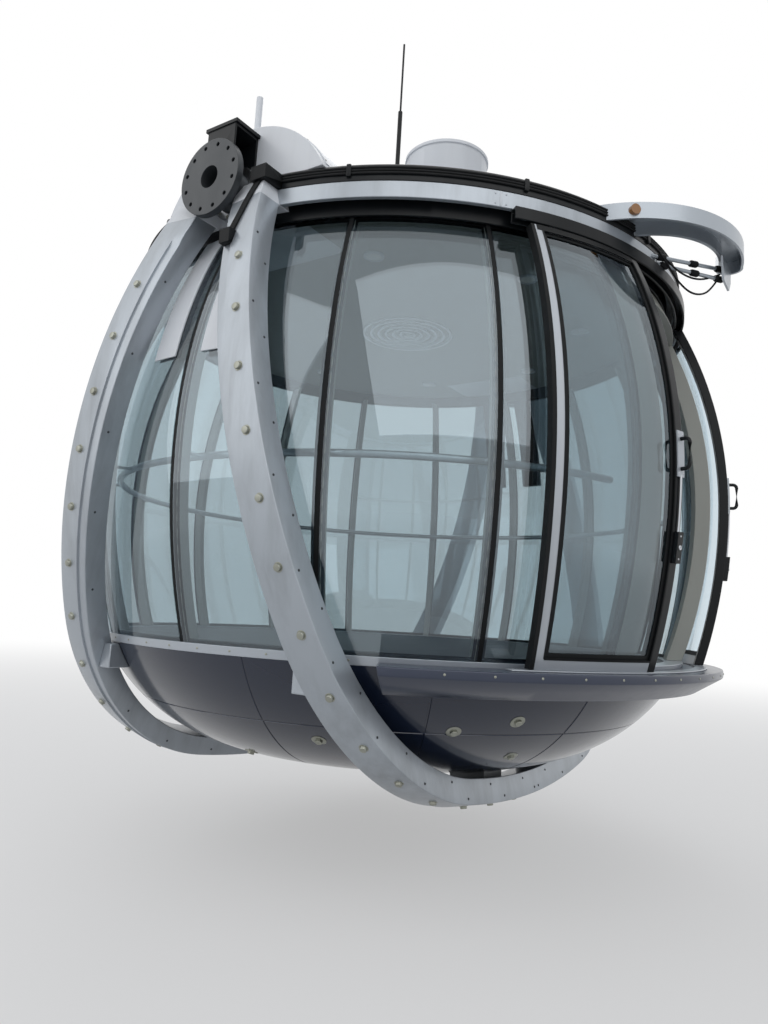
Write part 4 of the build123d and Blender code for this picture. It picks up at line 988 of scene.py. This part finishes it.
hub = dict(
    capTop=0.390, capHalf=0.560, neckTop=0.030, collarEnd=1.798, collarBolts=12, firstBolt=15.0, collarBoltRing=0.129,
    boltRadius=0.0085, slotHalf=0.11, slotBottom=0.02, driveBolts=((1.775, 1.90), (-0.085, 0.085)), drivePlateZ=0.328,
    straps=(1.36, 1.69), strapHalf=0.016, strapFrom=-0.003, strapTo=0.004, strapRounding=0.0015, strapEnd=(0.02, 0.03),
    strapRows=40, screwRadius=0.0055,
)
arch = circleThrough((-hub["capHalf"], hub["neckTop"]), (0.0, hub["capTop"]), (hub["capHalf"], hub["neckTop"]))


def makeHubFittings():
    # the cap's strap follows the cap's own arc; bolts stand in a ring on the collar's end, but not in its slot
    (centreY, centreZ), radius = arch
    low = math.atan2(hub["neckTop"] + hub["strapEnd"][1] - centreZ, hub["capHalf"] - hub["strapEnd"][0])
    turns = np.linspace(low, math.pi - low, hub["strapRows"])
    half, bottom, top = hub["strapHalf"], hub["strapFrom"], hub["strapTo"]
    section = roundedLoop([(-half, bottom), (half, bottom), (half, top), (-half, top)], hub["strapRounding"], 3)
    for node, sign in (("hub_far", 1.0), ("hub_near", -1.0)):
        bolts, straps = [], []
        for turn in evenTurns(hub["collarBolts"], hub["firstBolt"]):
            y, z = hub["collarBoltRing"] * math.cos(turn), hub["collarBoltRing"] * math.sin(turn)
            if z <= hub["slotBottom"] or abs(y) >= hub["slotHalf"]:
                place = (sign * hub["collarEnd"], y, z)
                bolts.append(boltAt(place, (sign, 0, 0), hub["boltRadius"], hexProfile, 6))
        for x in hub["driveBolts"][0]:
            for y in hub["driveBolts"][1]:
                bolts.append(boltAt((sign * x, y, hub["drivePlateZ"]), upAxis, hub["boltRadius"], hexProfile, 6))
        for x in hub["straps"]:
            around = turns[:, None]
            lift = radius + section[:, 1]
            points = np.stack([sign * (x + section[:, 0]) + 0 * around, centreY + np.cos(around) * lift,
                               centreZ + np.sin(around) * lift], axis=2)
            straps.append(capped(points, gridFaces(len(turns), len(section), closeColumns=True)))
            for turn in turns[2:-1:6]:  # a screw at every sixth place
                axis = np.array([0.0, math.cos(turn), math.sin(turn)])
                spot = (sign * x, centreY, centreZ) + (radius + hub["strapTo"]) * axis
                bolts.append(boltAt(spot, axis, hub["screwRadius"]))
        shellPiece(node + "Straps", straps, node, smoothAngle=30.0)
        shellPiece(node + "Bolts", bolts, node, "boltMetal", "bearing_collars", 35.0)


makeHubFittings()
print("hub fittings ready")


# cables: three down the near hub's leg, between a gland and a clip, and two slack ones at the docking arm

lead = dict(
    radius=0.007, length=0.358, step=(0.0014, 0.0146, 0.0), blocks=((-0.4525, -0.3795), (-0.0725, 0.0005)),
    route=((-2.0289, -0.238, -0.392), (-2.0091, -0.249, -0.330), (-1.9859, -0.259, -0.262),
           (-1.9594, -0.266, -0.190), (-1.9311, -0.276, -0.118), (-1.9070, -0.288, -0.060)),
)


def makeCable(name, route, radius, node):
    # a round cable along one smooth spline that has the route's points as its control points
    curve = bpy.data.curves.new(name, "CURVE")
    curve.dimensions = "3D"
    curve.bevel_depth = radius
    curve.bevel_resolution = 3
    curve.use_fill_caps = True
    spline = curve.splines.new("NURBS")
    spline.points.add(len(route) - 1)
    spline.points.foreach_set("co", np.concatenate([np.asarray(route), np.ones((len(route), 1))], axis=1).ravel())
    spline.order_u = 3
    spline.use_endpoint_u = True
    curve.materials.append(finish["blackRubber"])
    cable = newObject(name, curve)
    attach(cable, bodyOf[node])
    return cable


def makeCableLead():
    # the gland and the clip are the node's own faces that lie whole in the blocks' ranges of height
    route, step = np.array(lead["route"]), np.array(lead["step"])
    for index in range(3):
        cable = makeCable(f"leadCable{index + 1}", (route + (index - 1) * step).tolist(), lead["radius"],
                          "cable_lead")
        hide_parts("cable_lead")
    work = bmesh.new()
    work.from_mesh(nodes["cable_lead"].data)
    between = [face for face in work.faces if not any(
        all(low < vert.co.z < high for vert in face.verts) for low, high in lead["blocks"]
    )]
    bmesh.ops.delete(work, geom=between, context="FACES")
    bmesh.ops.remove_doubles(work, verts=work.verts, dist=joining["doubles"])
    mesh = bpy.data.meshes.new("leadClamps")
    work.to_mesh(mesh)
    work.free()
    newPiece("leadClamps", mesh, "cable_lead", "blackRubber", replaced="cable_lead")


makeCableLead()
print("cable lead ready")


# docking arm: knuckles on the rods and two slack cables below them

docking = dict(
    rods=((258.0, -0.100, 0.060, -0.095), (259.5, -0.128, 0.040, -0.165)),  # root's turn and height, end's x and z
    rodRoot=1.800, farY=-2.128, knuckles=(0.24, 0.62, 0.93), cableRadius=0.0055, lengths=(0.52, 0.44),
    knuckle=((0.0, -0.026), (0.0152, -0.026), (0.019, -0.0182), (0.019, 0.0182), (0.0152, 0.026), (0.0, 0.026)),
    cables=(
        ((-0.322, -1.853, -0.098), (-0.300, -1.880, -0.135), (-0.255, -1.925, -0.235), (-0.170, -1.985, -0.300),
         (-0.085, -2.045, -0.285), (-0.030, -2.085, -0.215), (-0.012, -2.100, -0.176)),
        ((-0.285, -1.862, -0.100), (-0.262, -1.885, -0.128), (-0.200, -1.935, -0.178), (-0.115, -1.995, -0.195),
         (-0.030, -2.055, -0.170), (0.030, -2.105, -0.128)),
    ),
)


def makeDocking():
    knuckles = []
    for direction, rootZ, endX, endZ in docking["rods"]:
        start = ringPlace((docking["rodRoot"], rootZ), math.radians(direction))
        run = np.array([endX, docking["farY"], endZ]) - start
        knuckles += [lathed(docking["knuckle"], start + share * run, run) for share in docking["knuckles"]]
    shellPiece("dockingKnuckles", knuckles, "docking_arm", "blackRubber", "cable_lead")
    for index, (route, length) in enumerate(zip(docking["cables"], docking["lengths"])):
        makeCable(f"dockingCable{index + 1}", route, docking["cableRadius"], "docking_arm")


makeDocking()
print("docking fittings ready")


# pale floor, soft lamps, white background

studio = dict(floorDrop=0.42, floorSize=260.0, floorColor=(0.56, 0.56, 0.565), floorRoughness=0.75, floorShine=0.2,
              fadeFrom=4.0, fadeTo=22.0, fadeLeast=0.42, skyLight=0.58, skyColor=(0.93, 0.96, 1.0), aim=(0, 0, -1.5))
lamps = {
    "keyLamp": dict(place=(-7.0, -8.0, 6.5), size=12.0, power=430.0),
    "sideLamp": dict(place=(-9.0, 4.0, 3.0), size=9.0, power=230.0),
    "backLamp": dict(place=(6.0, 6.0, 7.0), size=10.0, power=320.0),
}


def straightSight(tree):
    # one for the rays of the camera, a mirror or a pane, nought for light that falls on the surfaces
    path = addNode(tree, "ShaderNodeLightPath")
    first = addNode(tree, "ShaderNodeMath", operation="MAXIMUM")
    second = addNode(tree, "ShaderNodeMath", operation="MAXIMUM")
    connect(tree, (path, "Is Camera Ray", first, 0), (path, "Is Glossy Ray", first, 1), (first, 0, second, 0),
            (path, "Is Transmission Ray", second, 1))
    return second


def floorMaterial():
    # the floor's own shading mixed with white where it is looked at: the white's share rises with the distance from
    # the upright axis, so that the floor ends in the white background
    material, tree, shader = newMaterial("paleFloor")
    setValues(shader, Base_Color=(*studio["floorColor"], 1), Roughness=studio["floorRoughness"],
              Specular_IOR_Level=studio["floorShine"])
    place = addNode(tree, "ShaderNodeTexCoord")
    length = addNode(tree, "ShaderNodeVectorMath", operation="LENGTH")
    share = addNode(tree, "ShaderNodeMapRange", interpolation_type="SMOOTHSTEP", From_Min=studio["fadeFrom"],
                    From_Max=studio["fadeTo"], To_Min=studio["fadeLeast"])
    seen = addNode(tree, "ShaderNodeMath", operation="MULTIPLY")
    white = addNode(tree, "ShaderNodeEmission", Color=(1, 1, 1, 1), Strength=1.0)
    mix = addNode(tree, "ShaderNodeMixShader")
    connect(
        tree, (place, "Object", length, 0), (length, "Value", share, "Value"), (share, "Result", seen, 0),
        (straightSight(tree), 0, seen, 1), (seen, 0, mix, 0), (shader, 0, mix, 1), (white, 0, mix, 2),
        (mix, 0, tree.nodes["Material Output"], "Surface"),
    )
    return material


def makeStudio():
    low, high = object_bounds()
    half = studio["floorSize"] / 2
    z = low.z - studio["floorDrop"]
    floorMesh = bpy.data.meshes.new("floor")
    floorMesh.from_pydata([(-half, -half, z), (half, -half, z), (half, half, z), (-half, half, z)], [], [(0, 1, 2, 3)])
    floorMesh.materials.append(floorMaterial())
    newObject("floor", floorMesh)
    for name, lamp in lamps.items():
        data = bpy.data.lights.new(name, "AREA")
        data.size = lamp["size"]
        data.energy = lamp["power"]
        place = Vector(lamp["place"])
        aim = (Vector(studio["aim"]) - place).to_track_quat("-Z", "Y")
        newObject(name, data).matrix_world = Matrix.Translation(place) @ aim.to_matrix().to_4x4()


def makeWorld():
    # plain light for the surfaces, white where the camera, a mirror or a pane looks straight at it
    world = bpy.data.worlds.new("studioWorld")
    bpy.context.scene.world = world
    world.use_nodes = True
    tree = world.node_tree
    soft = setValues(tree.nodes["Background"], Color=(*studio["skyColor"], 1), Strength=studio["skyLight"])
    white = addNode(tree, "ShaderNodeBackground", Color=(1, 1, 1, 1), Strength=1.0)
    mix = addNode(tree, "ShaderNodeMixShader")
    connect(tree, (straightSight(tree), 0, mix, 0), (soft, 0, mix, 1), (white, 0, mix, 2),
            (mix, 0, tree.nodes["World Output"], "Surface"))


makeStudio()
makeWorld()
bpy.context.scene.view_settings.view_transform = "Standard"
print("studio ready")
